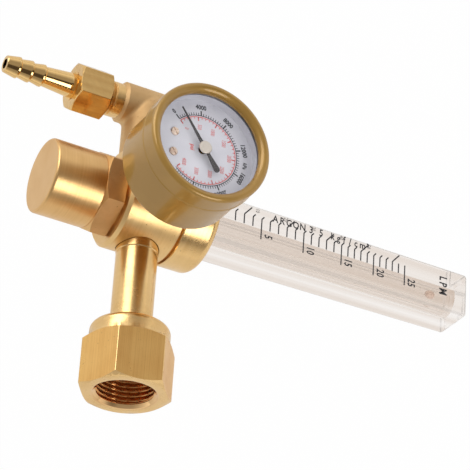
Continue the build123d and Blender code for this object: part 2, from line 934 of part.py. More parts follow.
with BuildPart() as movement_front_plate:
    with BuildSketch(gauge_face(front_plate_back)):
        with BuildLine():
            Polyline(*plate_outline, close=True)
        make_face()
        Circle(arbor_r + running_fit, mode=Mode.SUBTRACT)
        with Locations((0, sector_pivot_z)):
            Circle(sector_arbor_r + running_fit, mode=Mode.SUBTRACT)
        with Locations((-dial_screw_x, dial_screw_z), (dial_screw_x, dial_screw_z)):
            Circle(0.8, mode=Mode.SUBTRACT)
    extrude(amount=plate_t)
    with BuildSketch(gauge_face(front_plate_front)):
        with Locations((-dial_screw_x, dial_screw_z), (dial_screw_x, dial_screw_z)):
            Circle(1.5)
            Circle(0.8, mode=Mode.SUBTRACT)
    extrude(amount=front_plate_front - dial_back)
movement_front_plate.part.label = "movement_front_plate"
export_step(movement_front_plate.part, "parts/movement_front_plate.step")

screw_head_r = 1.55
screw_head_t = 0.7
with BuildPart() as dial_screws:
    with BuildSketch(gauge_face(front_plate_back)):
        with Locations((-dial_screw_x, dial_screw_z), (dial_screw_x, dial_screw_z)):
            Circle(0.75)
    extrude(amount=front_plate_back - dial_front)
    with BuildSketch(gauge_face(dial_front)):
        with Locations((-dial_screw_x, dial_screw_z), (dial_screw_x, dial_screw_z)):
            Circle(screw_head_r)
    extrude(amount=screw_head_t)
    chamfer(dial_screws.edges().group_by(Axis.Y)[0], 0.25)
    with BuildSketch(gauge_face(dial_front - screw_head_t + 0.35)):
        with Locations((-dial_screw_x, dial_screw_z), (dial_screw_x, dial_screw_z)):
            Rectangle(2 * screw_head_r + 0.4, 0.45, rotation=35)
            Rectangle(0.45, 2 * screw_head_r + 0.4, rotation=35)
    extrude(amount=0.4, mode=Mode.SUBTRACT)
dial_screws.part.label = "dial_screws"
export_step(dial_screws.part, "parts/dial_screws.step")


def tooth(pitch_r, angle, outer, inner, half_width):
    """Outline of one slim tooth standing on a pitch circle, at an angle in degrees."""
    turn = radians(angle)
    points = []
    for radius, half in (
        (inner, half_width * 1.25),
        (pitch_r, half_width),
        (outer, half_width * 0.55),
    ):
        points.append((radius, half))
    ring = points + [(radius, -half) for radius, half in reversed(points)]
    return [
        (r * cos(turn) - side * sin(turn), r * sin(turn) + side * cos(turn)) for r, side in ring
    ]


tooth_half = gear_module * pi / 4 * 0.72
addendum = gear_module * 0.85
dedendum = gear_module * 1.15

# Pinion with its arbor: a tooth points down to the sector at rest
arbor_back = block_front - 0.1
arbor_front = dial_front - 2.6
with BuildPart() as pinion:
    with BuildSketch(gauge_face(gear_front + gear_t + 0.3)):
        Circle(pinion_pitch_r - dedendum + 0.02)
        for count in range(pinion_teeth):
            with BuildLine():
                Polyline(
                    *tooth(
                        pinion_pitch_r,
                        -90 + count * 360 / pinion_teeth,
                        pinion_pitch_r + addendum,
                        pinion_pitch_r - dedendum - 0.1,
                        tooth_half,
                    ),
                    close=True,
                )
            make_face()
    extrude(amount=gear_t + 0.6)
    with BuildSketch(gauge_face(arbor_back)):
        Circle(arbor_r)
    extrude(amount=arbor_back - arbor_front)
pinion.part.label = "pinion"
export_step(pinion.part, "parts/pinion.step")

# Sector gear: its teeth reach from the rest mesh round to the far end of the sweep
sector_step = 360 / sector_wheel_teeth
sector_sweep = pointer_sweep * pinion_teeth / sector_wheel_teeth
sector_after = int(sector_sweep / sector_step) + 2
sector_low = 90 - (sector_after + 0.5) * sector_step
sector_high = 90 + 2.5 * sector_step
with BuildPart() as sector_gear:
    with BuildSketch(gauge_face(gear_front + gear_t)):
        with BuildLine():
            rim_r = sector_pitch_r - dedendum
            edge_low, edge_high = radians(sector_low), radians(sector_high)
            start = (rim_r * cos(edge_low), sector_pivot_z + rim_r * sin(edge_low))
            end = (rim_r * cos(edge_high), sector_pivot_z + rim_r * sin(edge_high))
            CenterArc((0, sector_pivot_z), rim_r, sector_low, sector_high - sector_low)
            Polyline(end, (-2.0, sector_pivot_z), (2.0, sector_pivot_z), start)
        make_face()
        for count in range(-2, sector_after + 1):
            outline = tooth(
                sector_pitch_r,
                90 - (count + 0.5) * sector_step,
                sector_pitch_r + addendum,
                sector_pitch_r - dedendum - 0.15,
                tooth_half,
            )
            with BuildLine():
                Polyline(*[(x, y + sector_pivot_z) for x, y in outline], close=True)
            make_face()
        with Locations((tail_x / 2, sector_pivot_z)):
            SlotCenterToCenter(tail_x, 3.0)
        with Locations((tail_x, sector_pivot_z)):
            Circle(arbor_r + running_fit, mode=Mode.SUBTRACT)
    extrude(amount=gear_t)
    with BuildSketch(gauge_face(arbor_back)):
        with Locations((0, sector_pivot_z)):
            Circle(sector_arbor_r)
    extrude(amount=arbor_back - front_plate_front - 0.1)
sector_gear.part.label = "sector_gear"
export_step(sector_gear.part, "parts/sector_gear.step")

# Link: a flat strip from the sector's tail up to the tube's tip
link_back = gear_front + gear_t + 0.9
link_front = gear_front + gear_t + 0.3
tip_angle = -5.0
tip_x = bourdon_r * cos(radians(tip_angle))
tip_z = bourdon_r * sin(radians(tip_angle))
link_angle = degrees(atan2(tip_z - sector_pivot_z, tip_x - tail_x))
link_length = sqrt((tip_x - tail_x) ** 2 + (tip_z - sector_pivot_z) ** 2)
with BuildPart() as link:
    with BuildSketch(gauge_face(link_back)):
        with Locations(((tip_x + tail_x) / 2, (tip_z + sector_pivot_z) / 2)):
            SlotCenterToCenter(link_length, 1.8, rotation=link_angle)
    extrude(amount=link_back - link_front)
    with BuildSketch(gauge_face(link_front)):
        with Locations((tail_x, sector_pivot_z)):
            Circle(arbor_r)
    extrude(amount=link_front - gear_front)
    with BuildSketch(gauge_face(link_back + 1.2)):
        with Locations((tip_x, tip_z)):
            Circle(0.5)
    extrude(amount=1.2)
link.part.label = "link"
export_step(link.part, "parts/link.step")

# Bourdon tube: a flattened hollow tube bent round the case
with BuildPart() as bourdon_tube:
    with BuildSketch(gauge_section):
        with Locations((bourdon_r, bourdon_y)):
            SlotOverall(bourdon_width, bourdon_thickness, rotation=90)
            SlotOverall(
                bourdon_width - 2 * bourdon_wall,
                bourdon_thickness - 2 * bourdon_wall,
                rotation=90,
                mode=Mode.SUBTRACT,
            )
    revolve(axis=bourdon_axis, revolution_arc=270 - bourdon_start)
bourdon_tube.part.label = "bourdon_tube"
export_step(bourdon_tube.part, "parts/bourdon_tube.step")

# Bourdon tip: closes the tube and carries the slotted plate for the link's pin
tip_plate_front = link_back + loose_fit
tip_plate_t = 1.1
with BuildPart() as bourdon_tip:
    with BuildSketch(gauge_face(bourdon_y + 3.3)):
        with Locations((bourdon_r, -0.6)):
            Rectangle(3.4, 4.4)
    extrude(amount=6.6)
    with BuildSketch(gauge_section):
        with Locations((bourdon_r, bourdon_y)):
            SlotOverall(
                bourdon_width + 2 * static_fit, bourdon_thickness + 2 * static_fit, rotation=90
            )
    revolve(axis=bourdon_axis, revolution_arc=20, mode=Mode.SUBTRACT)
    with BuildSketch(gauge_face(bourdon_y - 3.3)):
        with Locations((tip_x + 1.45, -1.0)):
            Rectangle(1.0, 3.6)
    extrude(amount=bourdon_y - 3.3 - tip_plate_front)
    with BuildSketch(gauge_face(tip_plate_front + tip_plate_t)):
        with Locations((tip_x, -0.2)):
            Rectangle(3.9, 5.8)
        with BuildLine():
            slot_path = CenterArc((tip_x - tail_x, tip_z), tail_x, 0, sector_sweep)
        SlotArc(slot_path, 2 * (0.5 + running_fit), mode=Mode.SUBTRACT)
    extrude(amount=tip_plate_t)
bourdon_tip.part.label = "bourdon_tip"
export_step(bourdon_tip.part, "parts/bourdon_tip.step")

# Pointer on its hub, pointing along the rest reading
pointer_front = dial_front - 2.3
pointer_t = 0.4
hub_front = dial_front - 3.0
with BuildPart() as pointer:
    with BuildSketch(gauge_face(pointer_front + pointer_t)):
        with BuildLine():
            Polyline(
                (-0.18, pointer_reach),
                (0.18, pointer_reach),
                (0.6, 2.0),
                (0.55, -2.4),
                (pointer_tail_half, -pointer_tail),
                (-pointer_tail_half, -pointer_tail),
                (-0.55, -2.4),
                (-0.6, 2.0),
                close=True,
            )
        make_face()
        with Locations((0, -pointer_tail)):
            Circle(pointer_tail_half)
        Circle(2.0)
        Circle(1.05, mode=Mode.SUBTRACT)
    extrude(amount=pointer_t)
pointer_part = pointer.part.rotate(bourdon_axis, -pointer_rest)
pointer_part.label = "pointer"
export_step(pointer_part, "parts/pointer.step")

with BuildPart() as pointer_hub:
    with BuildSketch(gauge_face(pointer_front)):
        Circle(2.45)
    extrude(amount=pointer_front - hub_front)
    chamfer(pointer_hub.edges().group_by(Axis.Y)[0], 0.2)
    with BuildSketch(gauge_face(pointer_front + 1.2)):
        Circle(1.0)
    extrude(amount=1.2)
    with BuildSketch(gauge_face(pointer_front + 1.2)):
        Circle(arbor_r + 0.02)
    extrude(amount=pointer_front + 1.2 - arbor_front, mode=Mode.SUBTRACT)
pointer_hub.part.label = "pointer_hub"
export_step(pointer_hub.part, "parts/pointer_hub.step")

# Outlet nipple: parallel thread at both ends
port_top = -6.0
with BuildPart() as outlet_nipple:
    revolve(
        section(
            outlet_section,
            (nipple_bore_r, port_top),
            (nipple_r - 0.6, port_top),
            (nipple_r, port_top - 0.6),
            (nipple_r, nipple_end + 0.7),
            (nipple_r - 0.7, nipple_end),
            (nipple_bore_r, nipple_end),
        ),
        axis=outlet_axis,
    )
outlet_nipple.part.label = "outlet_nipple"
export_step(outlet_nipple.part, "parts/outlet_nipple.step")

# Hose barb: flanged tail held by the union nut, with three ridges for the hose
barb_flange_r = 5.9
barb_flange_low = nipple_end - 2.2
tail_straight_end = -33.4
barb_points = [
    (barb_bore_r, nipple_end),
    (barb_flange_r, nipple_end),
    (barb_flange_r, barb_flange_low),
    (tail_r, barb_flange_low),
    (tail_r, tail_straight_end),
    (tail_waist_r, barb_first_crest + 0.5),
]
for ridge in range(3):
    crest_z = barb_first_crest - ridge * barb_pitch
    crest_r = barb_crest_r - 0.1 * ridge
    barb_points.append((crest_r, crest_z))
    barb_points.append((crest_r, crest_z - barb_land))
    if ridge < 2:
        barb_points.append((barb_root_r, crest_z - barb_pitch + 0.45))
barb_points.append((barb_end_r, barb_tip + 0.2))
barb_points.append((barb_end_r - 0.2, barb_tip))
barb_points.append((barb_bore_r, barb_tip))
with BuildPart() as hose_barb:
    revolve(section(outlet_section, *barb_points), axis=outlet_axis)
hose_barb.part.label = "hose_barb"
export_step(hose_barb.part, "parts/hose_barb.step")

# Union nut: hexagon that draws the tail up against the nipple
outlet_hex_r = nipple_hex_af / sqrt(3)
outlet_chamfer = (outlet_hex_r - outlet_face_r) * 0.577
with BuildPart() as outlet_nut:
    with BuildSketch(level(outlet_x, outlet_nut_low)):
        RegularPolygon(radius=outlet_hex_r, side_count=6, rotation=outlet_nut_turn)
    extrude(amount=outlet_nut_high - outlet_nut_low)
    revolve(
        section(
            outlet_section,
            (0, outlet_nut_low),
            (outlet_face_r, outlet_nut_low),
            (outlet_hex_r, outlet_nut_low + outlet_chamfer),
            (outlet_hex_r, outlet_nut_high - outlet_chamfer),
            (outlet_face_r, outlet_nut_high),
            (0, outlet_nut_high),
        ),
        axis=outlet_axis,
        mode=Mode.INTERSECT,
    )
    revolve(
        section(
            outlet_section,
            (0, outlet_nut_low),
            (tail_r + loose_fit + 0.9, outlet_nut_low),
            (tail_r + loose_fit, outlet_nut_low + 0.9),
            (tail_r + loose_fit, barb_flange_low),
            (nipple_r + loose_fit, barb_flange_low),
            (nipple_r + loose_fit, outlet_nut_high - 0.4),
            (nipple_r + loose_fit + 0.4, outlet_nut_high),
            (0, outlet_nut_high),
        ),
        axis=outlet_axis,
        mode=Mode.SUBTRACT,
    )
outlet_nut.part.label = "outlet_nut"
export_step(outlet_nut.part, "parts/outlet_nut.step")

# Needle valve: packing, gland nut, spindle and knob on top of the boss
packing_low = boss_high - gland_depth
packing_high = packing_low + 2.0
with BuildPart() as gland_packing:
    with BuildSketch(level(outlet_x, packing_low)):
        Circle(gland_thread_r)
        Circle(spindle_r + 0.03, mode=Mode.SUBTRACT)
    extrude(amount=packing_high - packing_low)
gland_packing.part.label = "gland_packing"
export_step(gland_packing.part, "parts/gland_packing.step")

gland_hex_r = gland_hex_af / sqrt(3)
with BuildPart() as gland_nut:
    with BuildSketch(level(outlet_x, packing_high)):
        Circle(gland_thread_r)
    extrude(amount=boss_high - packing_high)
    with BuildSketch(level(outlet_x, boss_high)):
        RegularPolygon(radius=gland_hex_r, side_count=6)
    extrude(amount=gland_hex_high - boss_high)
    with BuildSketch(level(outlet_x, packing_high)):
        Circle(spindle_r + running_fit)
    extrude(amount=gland_hex_high - packing_high, mode=Mode.SUBTRACT)
gland_nut.part.label = "gland_nut"
export_step(gland_nut.part, "parts/gland_nut.step")

spindle_shoulder = 20.0
spindle_top = 28.6
needle_slope = 0.577
with BuildPart() as needle_spindle:
    revolve(
        section(
            outlet_section,
            (0, needle_seat_z - (needle_throat_r - 0.3) / needle_slope),
            (0.28, needle_seat_z - (needle_throat_r - 0.3) / needle_slope),
            (needle_throat_r - 0.02, needle_seat_z),
            (1.9, needle_seat_z + (1.9 - needle_throat_r + 0.02) / needle_slope),
            (spindle_r, 0.6),
            (spindle_r, spindle_shoulder),
            (spindle_neck_r, spindle_shoulder),
            (spindle_neck_r, spindle_top),
            (1.05, spindle_top),
            (1.05, spindle_top - 6.5),
            (0, spindle_top - 6.5),
        ),
        axis=outlet_axis,
    )
needle_spindle.part.label = "needle_spindle"
export_step(needle_spindle.part, "parts/needle_spindle.step")

with BuildPart() as knob:
    with BuildSketch(level(outlet_x, knob_low)):
        Circle(knob_r)
    extrude(amount=knob_high - knob_low)
    fillet(knob.edges().group_by(Axis.Z)[-1], 1.6)
    fillet(knob.edges().group_by(Axis.Z)[0], 0.5)
    with BuildSketch(level(outlet_x, knob_low + 2.2)):
        with PolarLocations(knob_r + 1.0, knob_flutes):
            Circle(1.8)
    extrude(amount=knob_high - knob_low, mode=Mode.SUBTRACT)
    revolve(
        section(
            outlet_section,
            (0, knob_low),
            (spindle_r + running_fit + 0.3, knob_low),
            (spindle_r + running_fit + 0.3, spindle_shoulder + 0.02),
            (spindle_neck_r + running_fit, spindle_shoulder + 0.02),
            (spindle_neck_r + running_fit, spindle_top + 0.02),
            (3.3, spindle_top + 0.02),
            (3.3, knob_high),
            (0, knob_high),
        ),
        axis=outlet_axis,
        mode=Mode.SUBTRACT,
    )
knob.part.label = "knob"
export_step(knob.part, "parts/knob.step")

with BuildPart() as knob_screw:
    with BuildSketch(level(outlet_x, spindle_top + 0.02)):
        Circle(3.1)
    extrude(amount=1.5)
    chamfer(knob_screw.edges().group_by(Axis.Z)[-1], 0.4)
    with BuildSketch(level(outlet_x, spindle_top + 0.02)):
        Circle(1.0)
    extrude(amount=-5.5)
    with BuildSketch(level(outlet_x, spindle_top + 0.95)):
        Rectangle(6.6, 0.8)
    extrude(amount=0.8, mode=Mode.SUBTRACT)
knob_screw.part.label = "knob_screw"
export_step(knob_screw.part, "parts/knob_screw.step")
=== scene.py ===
"""Argon flowmeter regulator, dressed for its photograph: brass body and fittings, painted
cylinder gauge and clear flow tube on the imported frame. Metres, +Z up the flow tube."""

from math import cos, radians, sin, sqrt, tau

import bmesh
import bpy
from mathutils import Matrix, Vector


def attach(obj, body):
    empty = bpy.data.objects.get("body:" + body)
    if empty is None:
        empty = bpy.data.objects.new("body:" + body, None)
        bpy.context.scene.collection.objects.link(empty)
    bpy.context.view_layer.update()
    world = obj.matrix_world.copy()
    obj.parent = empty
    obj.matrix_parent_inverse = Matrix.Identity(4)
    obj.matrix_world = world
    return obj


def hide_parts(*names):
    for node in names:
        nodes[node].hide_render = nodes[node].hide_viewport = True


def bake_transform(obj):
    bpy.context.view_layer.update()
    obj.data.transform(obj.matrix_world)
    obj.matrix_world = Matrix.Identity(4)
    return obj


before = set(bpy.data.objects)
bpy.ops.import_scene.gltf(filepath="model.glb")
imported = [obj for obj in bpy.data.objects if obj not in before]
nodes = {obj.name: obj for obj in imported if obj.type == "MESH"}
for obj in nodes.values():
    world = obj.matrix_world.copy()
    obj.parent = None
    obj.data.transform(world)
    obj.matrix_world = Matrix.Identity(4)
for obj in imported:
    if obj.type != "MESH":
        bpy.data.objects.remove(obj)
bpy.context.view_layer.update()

# Camera: a long lens, turned so that the flow tube lies to the right and a little down. Its
# place and turn come from the directions of the object's edges in the photograph.
eye = Vector((0.41762, -0.79775, -0.36124))
eye_right = Vector((-0.0589965, -0.4763275, 0.8772865))
eye_down = Vector((0.8734980, 0.4007880, 0.2763518))
eye_forward = Vector((-0.4832398, 0.7826117, 0.3924260))
camera = bpy.data.objects.new("camera", bpy.data.cameras.new("camera"))
bpy.context.collection.objects.link(camera)
camera.matrix_world = Matrix.Translation(eye) @ Matrix(
    (eye_right, -eye_down, -eye_forward)
).transposed().to_4x4()
camera.data.sensor_width = 36.0
camera.data.lens = 212.407
camera.data.clip_start = 0.05
camera.data.clip_end = 20.0
bpy.context.scene.camera = camera
bpy.context.scene.view_settings.view_transform = "Standard"

# White card: paper behind the regulator, square on to the camera. It shows white to the camera
# and through clear pieces, and partly so in brass. It is clear from its back, so it hides the
# regulator from no other side.
card_depth = 1.105
card_half = 1.6
white_in_brass = 0.4
white_in_view = 0.985
card_centre = eye + eye_forward * card_depth
card_mesh = bpy.data.meshes.new("card")
card_mesh.from_pydata(
    [
        card_centre + eye_right * a * card_half + eye_down * b * card_half
        for a, b in ((-1, 1), (1, 1), (1, -1), (-1, -1))
    ],
    [],
    [(0, 1, 2, 3)],
)
card = bpy.data.objects.new("card", card_mesh)
bpy.context.collection.objects.link(card)


def math_node(tree, operation, first, second):
    """The result of one sum on a socket and a second socket or a plain number."""
    step = tree.nodes.new("ShaderNodeMath")
    step.operation = operation
    tree.links.new(first, step.inputs[0])
    if isinstance(second, float):
        step.inputs[1].default_value = second
    else:
        tree.links.new(second, step.inputs[1])
    return step.outputs[0]


def mixed(tree, share, first, second):
    """The result of mixing two shaders, by the share of the second."""
    mix = tree.nodes.new("ShaderNodeMixShader")
    for number, source in enumerate((share, first, second)):
        tree.links.new(source, mix.inputs[number])
    return mix.outputs[0]


card_paper = bpy.data.materials.new("card_paper")
card_paper.use_nodes = True
tree = card_paper.node_tree
tree.nodes.clear()
paper_out = tree.nodes.new("ShaderNodeOutputMaterial")
paper = tree.nodes.new("ShaderNodeBsdfDiffuse")
paper.inputs["Color"].default_value = (0.95, 0.95, 0.95, 1)
white = tree.nodes.new("ShaderNodeEmission")
white.inputs["Color"].default_value = (1, 1, 1, 1)
white.inputs["Strength"].default_value = 1.0
clear_back = tree.nodes.new("ShaderNodeBsdfTransparent")
side = tree.nodes.new("ShaderNodeNewGeometry")
rays = tree.nodes.new("ShaderNodeLightPath")
in_brass = math_node(tree, "MULTIPLY", rays.outputs["Is Glossy Ray"], white_in_brass)
in_pieces = math_node(tree, "MAXIMUM", in_brass, rays.outputs["Is Transmission Ray"])
in_view = math_node(tree, "MULTIPLY", rays.outputs["Is Camera Ray"], white_in_view)
seen_white = math_node(tree, "MAXIMUM", in_pieces, in_view)
lit_card = mixed(tree, seen_white, paper.outputs[0], white.outputs[0])
one_way = mixed(tree, side.outputs["Backfacing"], lit_card, clear_back.outputs[0])
tree.links.new(one_way, paper_out.inputs["Surface"])
card_mesh.materials.append(card_paper)

# Light tent: pale cloth all round, dim towards its open side behind the camera and dark on the
# wall round the window, so brass shows dark bands there. The camera sees it blank white, and it
# shows blank white through the clear pieces.
window_way = (0.634, -0.662, 0.399)
tent = bpy.data.worlds.new("tent")
bpy.context.scene.world = tent
tent.use_nodes = True
tree = tent.node_tree
tree.nodes.clear()


def colour_ramp(tree, source, first, last, start=0.0, end=1.0):
    """A node that gives a colour between two as its source rises from start to end."""
    ramp = tree.nodes.new("ShaderNodeValToRGB")
    for stop, position, colour in zip(ramp.color_ramp.elements, (start, end), (first, last)):
        stop.position = position
        stop.color = (*colour, 1)
    tree.links.new(source, ramp.inputs[0])
    return ramp


def facing(tree, way, direction):
    """How far a ray's way points along a direction, from -1 to 1."""
    dot = tree.nodes.new("ShaderNodeVectorMath")
    dot.operation = "DOT_PRODUCT"
    dot.inputs[1].default_value = direction
    tree.links.new(way, dot.inputs[0])
    return dot.outputs["Value"]


tent_out = tree.nodes.new("ShaderNodeOutputWorld")
cloth = tree.nodes.new("ShaderNodeBackground")
cloth.inputs["Strength"].default_value = 1.0
blank = tree.nodes.new("ShaderNodeBackground")
blank.inputs["Color"].default_value = (1, 1, 1, 1)
blank.inputs["Strength"].default_value = 1.0
way = tree.nodes.new("ShaderNodeTexCoord").outputs["Generated"]
towards_eye = facing(tree, way, -eye_forward)
opening = colour_ramp(
    tree, towards_eye, (0.97, 0.955, 0.945), (0.37, 0.35, 0.335), start=0.02, end=0.55
)
towards_window = facing(tree, way, window_way)
dark_wall = colour_ramp(
    tree, towards_window, (1, 1, 1), (0.20, 0.175, 0.16), start=0.80, end=0.86
)
shaded = tree.nodes.new("ShaderNodeVectorMath")
shaded.operation = "MULTIPLY"
tree.links.new(opening.outputs[0], shaded.inputs[0])
tree.links.new(dark_wall.outputs[0], shaded.inputs[1])
tree.links.new(shaded.outputs[0], cloth.inputs["Color"])
rays = tree.nodes.new("ShaderNodeLightPath")
seen_blank = math_node(
    tree, "MAXIMUM", rays.outputs["Is Camera Ray"], rays.outputs["Is Transmission Ray"]
)
backdrop = mixed(tree, seen_blank, cloth.outputs[0], blank.outputs[0])
tree.links.new(backdrop, tent_out.inputs["Surface"])

# Lamps: as the camera sees them, a soft box above on the left and a window low on the right.
# They don't show through the clear pieces, where they would leave white notches at the edges.
table_centre = Vector((-0.06, 0.0, 0.03))
lamp_distance = 0.9
for name, side_way, power, width, height in (
    ("soft_box_left", -eye_right * 0.40 - eye_down * 0.81 - eye_forward * 0.42, 3.2, 0.88, 0.46),
    ("window_right", eye_right * 0.574 + eye_down * 0.384 - eye_forward * 0.723, 2.8, 0.46, 0.54),
):
    light = bpy.data.lights.new(name, "AREA")
    light.shape = "RECTANGLE"
    light.size = width
    light.size_y = height
    light.energy = power
    lamp = bpy.data.objects.new(name, light)
    bpy.context.collection.objects.link(lamp)
    lamp.location = table_centre + side_way.normalized() * lamp_distance
    lamp.rotation_mode = "QUATERNION"
    lamp.rotation_quaternion = (-side_way).to_track_quat("-Z", "Y")
    lamp.visible_transmission = False

# Body: one brass forging, its barrel turned and polished, its arm left uneven as tumbling
# leaves it. The brass function here is for all brass, bronze, copper and nickel: colour, gloss,
# small pits and the fine lines of a lathe, a mill or a polishing wheel.
body_x = -0.0747
barrel_limit = 0.0187
brass_colour = (0.90, 0.615, 0.28)
brass_dark = (0.81, 0.525, 0.215)
pit_dirt = (0.42, 0.22, 0.06, 1)
lines_in_tone = 0.45
no_stretch = (1, 1, 1)


def finish(name):
    """A new material: itself, its nodes, its shader and the piece's own coordinates."""
    material = bpy.data.materials.new(name)
    material.use_nodes = True
    tree = material.node_tree
    place = tree.nodes.new("ShaderNodeTexCoord").outputs["Object"]
    return material, tree, tree.nodes["Principled BSDF"], place


def noise(tree, place, scale, detail=2.0):
    """A cloudy pattern over the piece, finer as scale grows."""
    cloud = tree.nodes.new("ShaderNodeTexNoise")
    cloud.inputs["Scale"].default_value = scale
    cloud.inputs["Detail"].default_value = detail
    tree.links.new(place, cloud.inputs["Vector"])
    return cloud.outputs["Fac"]


def stretched(tree, place, stretch):
    """The piece's coordinates stretched along X, Y and Z."""
    mapping = tree.nodes.new("ShaderNodeMapping")
    mapping.inputs["Scale"].default_value = stretch
    tree.links.new(place, mapping.inputs["Vector"])
    return mapping.outputs[0]


def relief(tree, pattern, depth, below=None):
    """The surface raised by a pattern, on top of the relief below it."""
    bump = tree.nodes.new("ShaderNodeBump")
    bump.inputs["Strength"].default_value = 1.0
    bump.inputs["Distance"].default_value = depth
    tree.links.new(pattern, bump.inputs["Height"])
    if below:
        tree.links.new(below, bump.inputs["Normal"])
    return bump.outputs[0]


def brass(name, pale, deep, roughness, lines=None, lines_depth=0.0, pits=0.0, sand=0.0, waves=0.0):
    """Brass, or a metal like it, with the marks of how the piece was finished. lines is the
    pattern's stretch along X, Y and Z, where large numbers cross the lines. The rest are
    depths."""
    metal, tree, shader, place = finish(name)
    shader.inputs["Metallic"].default_value = 1.0
    cloud = noise(tree, place, scale=55.0, detail=5.0)
    tone = colour_ramp(tree, cloud, deep, pale, start=0.34, end=0.58)
    tree.links.new(tone.outputs[0], shader.inputs["Base Color"])
    gloss = tree.nodes.new("ShaderNodeMapRange")
    gloss.inputs["From Min"].default_value = 0.3
    gloss.inputs["From Max"].default_value = 0.7
    gloss.inputs["To Min"].default_value = roughness * 1.2
    gloss.inputs["To Max"].default_value = roughness * 0.8
    tree.links.new(cloud, gloss.inputs["Value"])
    tree.links.new(gloss.outputs[0], shader.inputs["Roughness"])
    surface = None
    for kind, stretch, scale, depth in (
        ("waves", no_stretch, 300.0, waves),
        ("lines", lines, 1.0, lines_depth),
        ("pits", no_stretch, 1300.0, pits),
        ("sand", no_stretch, 5200.0, sand),
    ):
        if not depth:
            continue
        pattern = noise(tree, stretched(tree, place, stretch), scale, detail=3.0)
        if kind == "lines":
            both = tree.nodes.new("ShaderNodeMix")
            both.inputs[0].default_value = lines_in_tone
            tree.links.new(cloud, both.inputs[2])
            tree.links.new(pattern, both.inputs[3])
            tree.links.new(both.outputs[0], tone.inputs[0])
        if kind == "pits":
            sparse = tree.nodes.new("ShaderNodeMapRange")
            sparse.inputs["From Min"].default_value = 0.25
            sparse.inputs["From Max"].default_value = 0.31
            tree.links.new(pattern, sparse.inputs["Value"])
            pattern = sparse.outputs[0]
            dirt = tree.nodes.new("ShaderNodeMix")
            dirt.data_type = "RGBA"
            dirt.inputs[6].default_value = pit_dirt
            tree.links.new(pattern, dirt.inputs[0])
            tree.links.new(tone.outputs[0], dirt.inputs[7])
            tree.links.new(dirt.outputs[2], shader.inputs["Base Color"])
        surface = relief(tree, pattern, depth, surface)
    if surface:
        tree.links.new(surface, shader.inputs["Normal"])
    return metal


def dress(node, material):
    """Gives a CAD node its finished material."""
    mesh = nodes[node].data
    mesh.materials.clear()
    mesh.materials.append(material)


def from_upright(point, axis_x):
    """How far a point lies from the upright axis at axis_x."""
    return Vector((point.x - axis_x, point.y)).length


forged_brass = brass(
    "forged_brass", brass_colour, brass_dark, 0.38,
    lines=(40, 40, 1100), lines_depth=0.00001, pits=0.00002,
)
tumbled_brass = brass(
    "tumbled_brass", (0.80, 0.56, 0.29), (0.66, 0.44, 0.21), 0.60,
    pits=0.00002, sand=0.00003, waves=0.00004,
)
dress("body", forged_brass)
nodes["body"].data.materials.append(tumbled_brass)
for face in nodes["body"].data.polygons:
    if from_upright(face.center, body_x) > barrel_limit and face.center.x < body_x:
        face.material_index = 1

# Bonnet: turned from hexagon bar, its flats left with the sandy skin of the drawn bar and the
# cap polished on the lathe. Inside are the range spring with its button, plate and diaphragm,
# and past the diaphragm the seat, the poppet and its spring.
flats_low, flats_high = -0.0200, -0.0125
bonnet_flat = 0.0139
upright_slope = 0.02
bonnet_brass = brass(
    "bonnet_brass", (0.86, 0.55, 0.24), (0.77, 0.47, 0.19), 0.33,
    lines=(40, 40, 2600), lines_depth=0.00002,
)
bar_skin = brass(
    "bar_skin", (0.83, 0.56, 0.28), (0.60, 0.37, 0.16), 0.42,
    pits=0.00006, sand=0.00006, waves=0.00008,
)
dress("bonnet", bonnet_brass)
nodes["bonnet"].data.materials.append(bar_skin)
for face in nodes["bonnet"].data.polygons:
    upright = abs(face.normal.z) < upright_slope
    on_hexagon = from_upright(face.center, body_x) > bonnet_flat
    if upright and on_hexagon and flats_low < face.center.z < flats_high:
        face.material_index = 1

inner_brass = brass(
    "inner_brass", brass_colour, brass_dark, 0.3, lines=(60, 60, 2200), lines_depth=0.00002
)
for name in ("diaphragm_plate", "spring_button", "valve_seat", "poppet"):
    dress(name, inner_brass)


def plain(name, deep, pale, scale, roughness, metallic=0.0, start=0.0, end=1.0, grain=0.0):
    """A finish without tool lines, whose tone drifts between two colours. scale is how fine the
    drift is, start and end where it turns, and grain how deep it is pressed into the face."""
    material, tree, shader, place = finish(name)
    shader.inputs["Metallic"].default_value = metallic
    shader.inputs["Roughness"].default_value = roughness
    drift = noise(tree, place, scale)
    tone = colour_ramp(tree, drift, deep, pale, start, end)
    tree.links.new(tone.outputs[0], shader.inputs["Base Color"])
    if grain:
        tree.links.new(relief(tree, drift, grain), shader.inputs["Normal"])
    return material


seal_rubber = plain(
    "seal_rubber", (0.015, 0.015, 0.015), (0.045, 0.045, 0.045), scale=300.0, roughness=0.6
)
dress("diaphragm", seal_rubber)
spring_steel = plain(
    "spring_steel", (0.32, 0.32, 0.34), (0.60, 0.60, 0.62),
    scale=700.0, roughness=0.3, metallic=1.0,
)
join_gap = 1e-6
wire_crease = radians(40)


def opened(node, name):
    """A copy of a CAD node's mesh, and its loose triangles joined into one skin for work."""
    copy = nodes[node].data.copy()
    copy.name = name
    skin = bmesh.new()
    skin.from_mesh(copy)
    bmesh.ops.remove_doubles(skin, verts=skin.verts, dist=join_gap)
    return copy, skin


# each coil is a smoothed copy of its CAD node in spring steel; its pushed piece, foot and head go
# unused
for name, pushed, foot, head in (
    ("range_spring", "regulator_plate", 0, 1),
    ("poppet_spring", "poppet", 1, 0),
):
    wire, skin = opened(name, name + "_coil")
    for face in skin.faces:
        face.smooth = True
    skin.to_mesh(wire)
    skin.free()
    wire.set_sharp_from_angle(angle=wire_crease)
    wire.materials.clear()
    wire.materials.append(spring_steel)
    spring = bpy.data.objects.new(wire.name, wire)
    bpy.context.collection.objects.link(spring)
    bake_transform(spring)
    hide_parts(name)

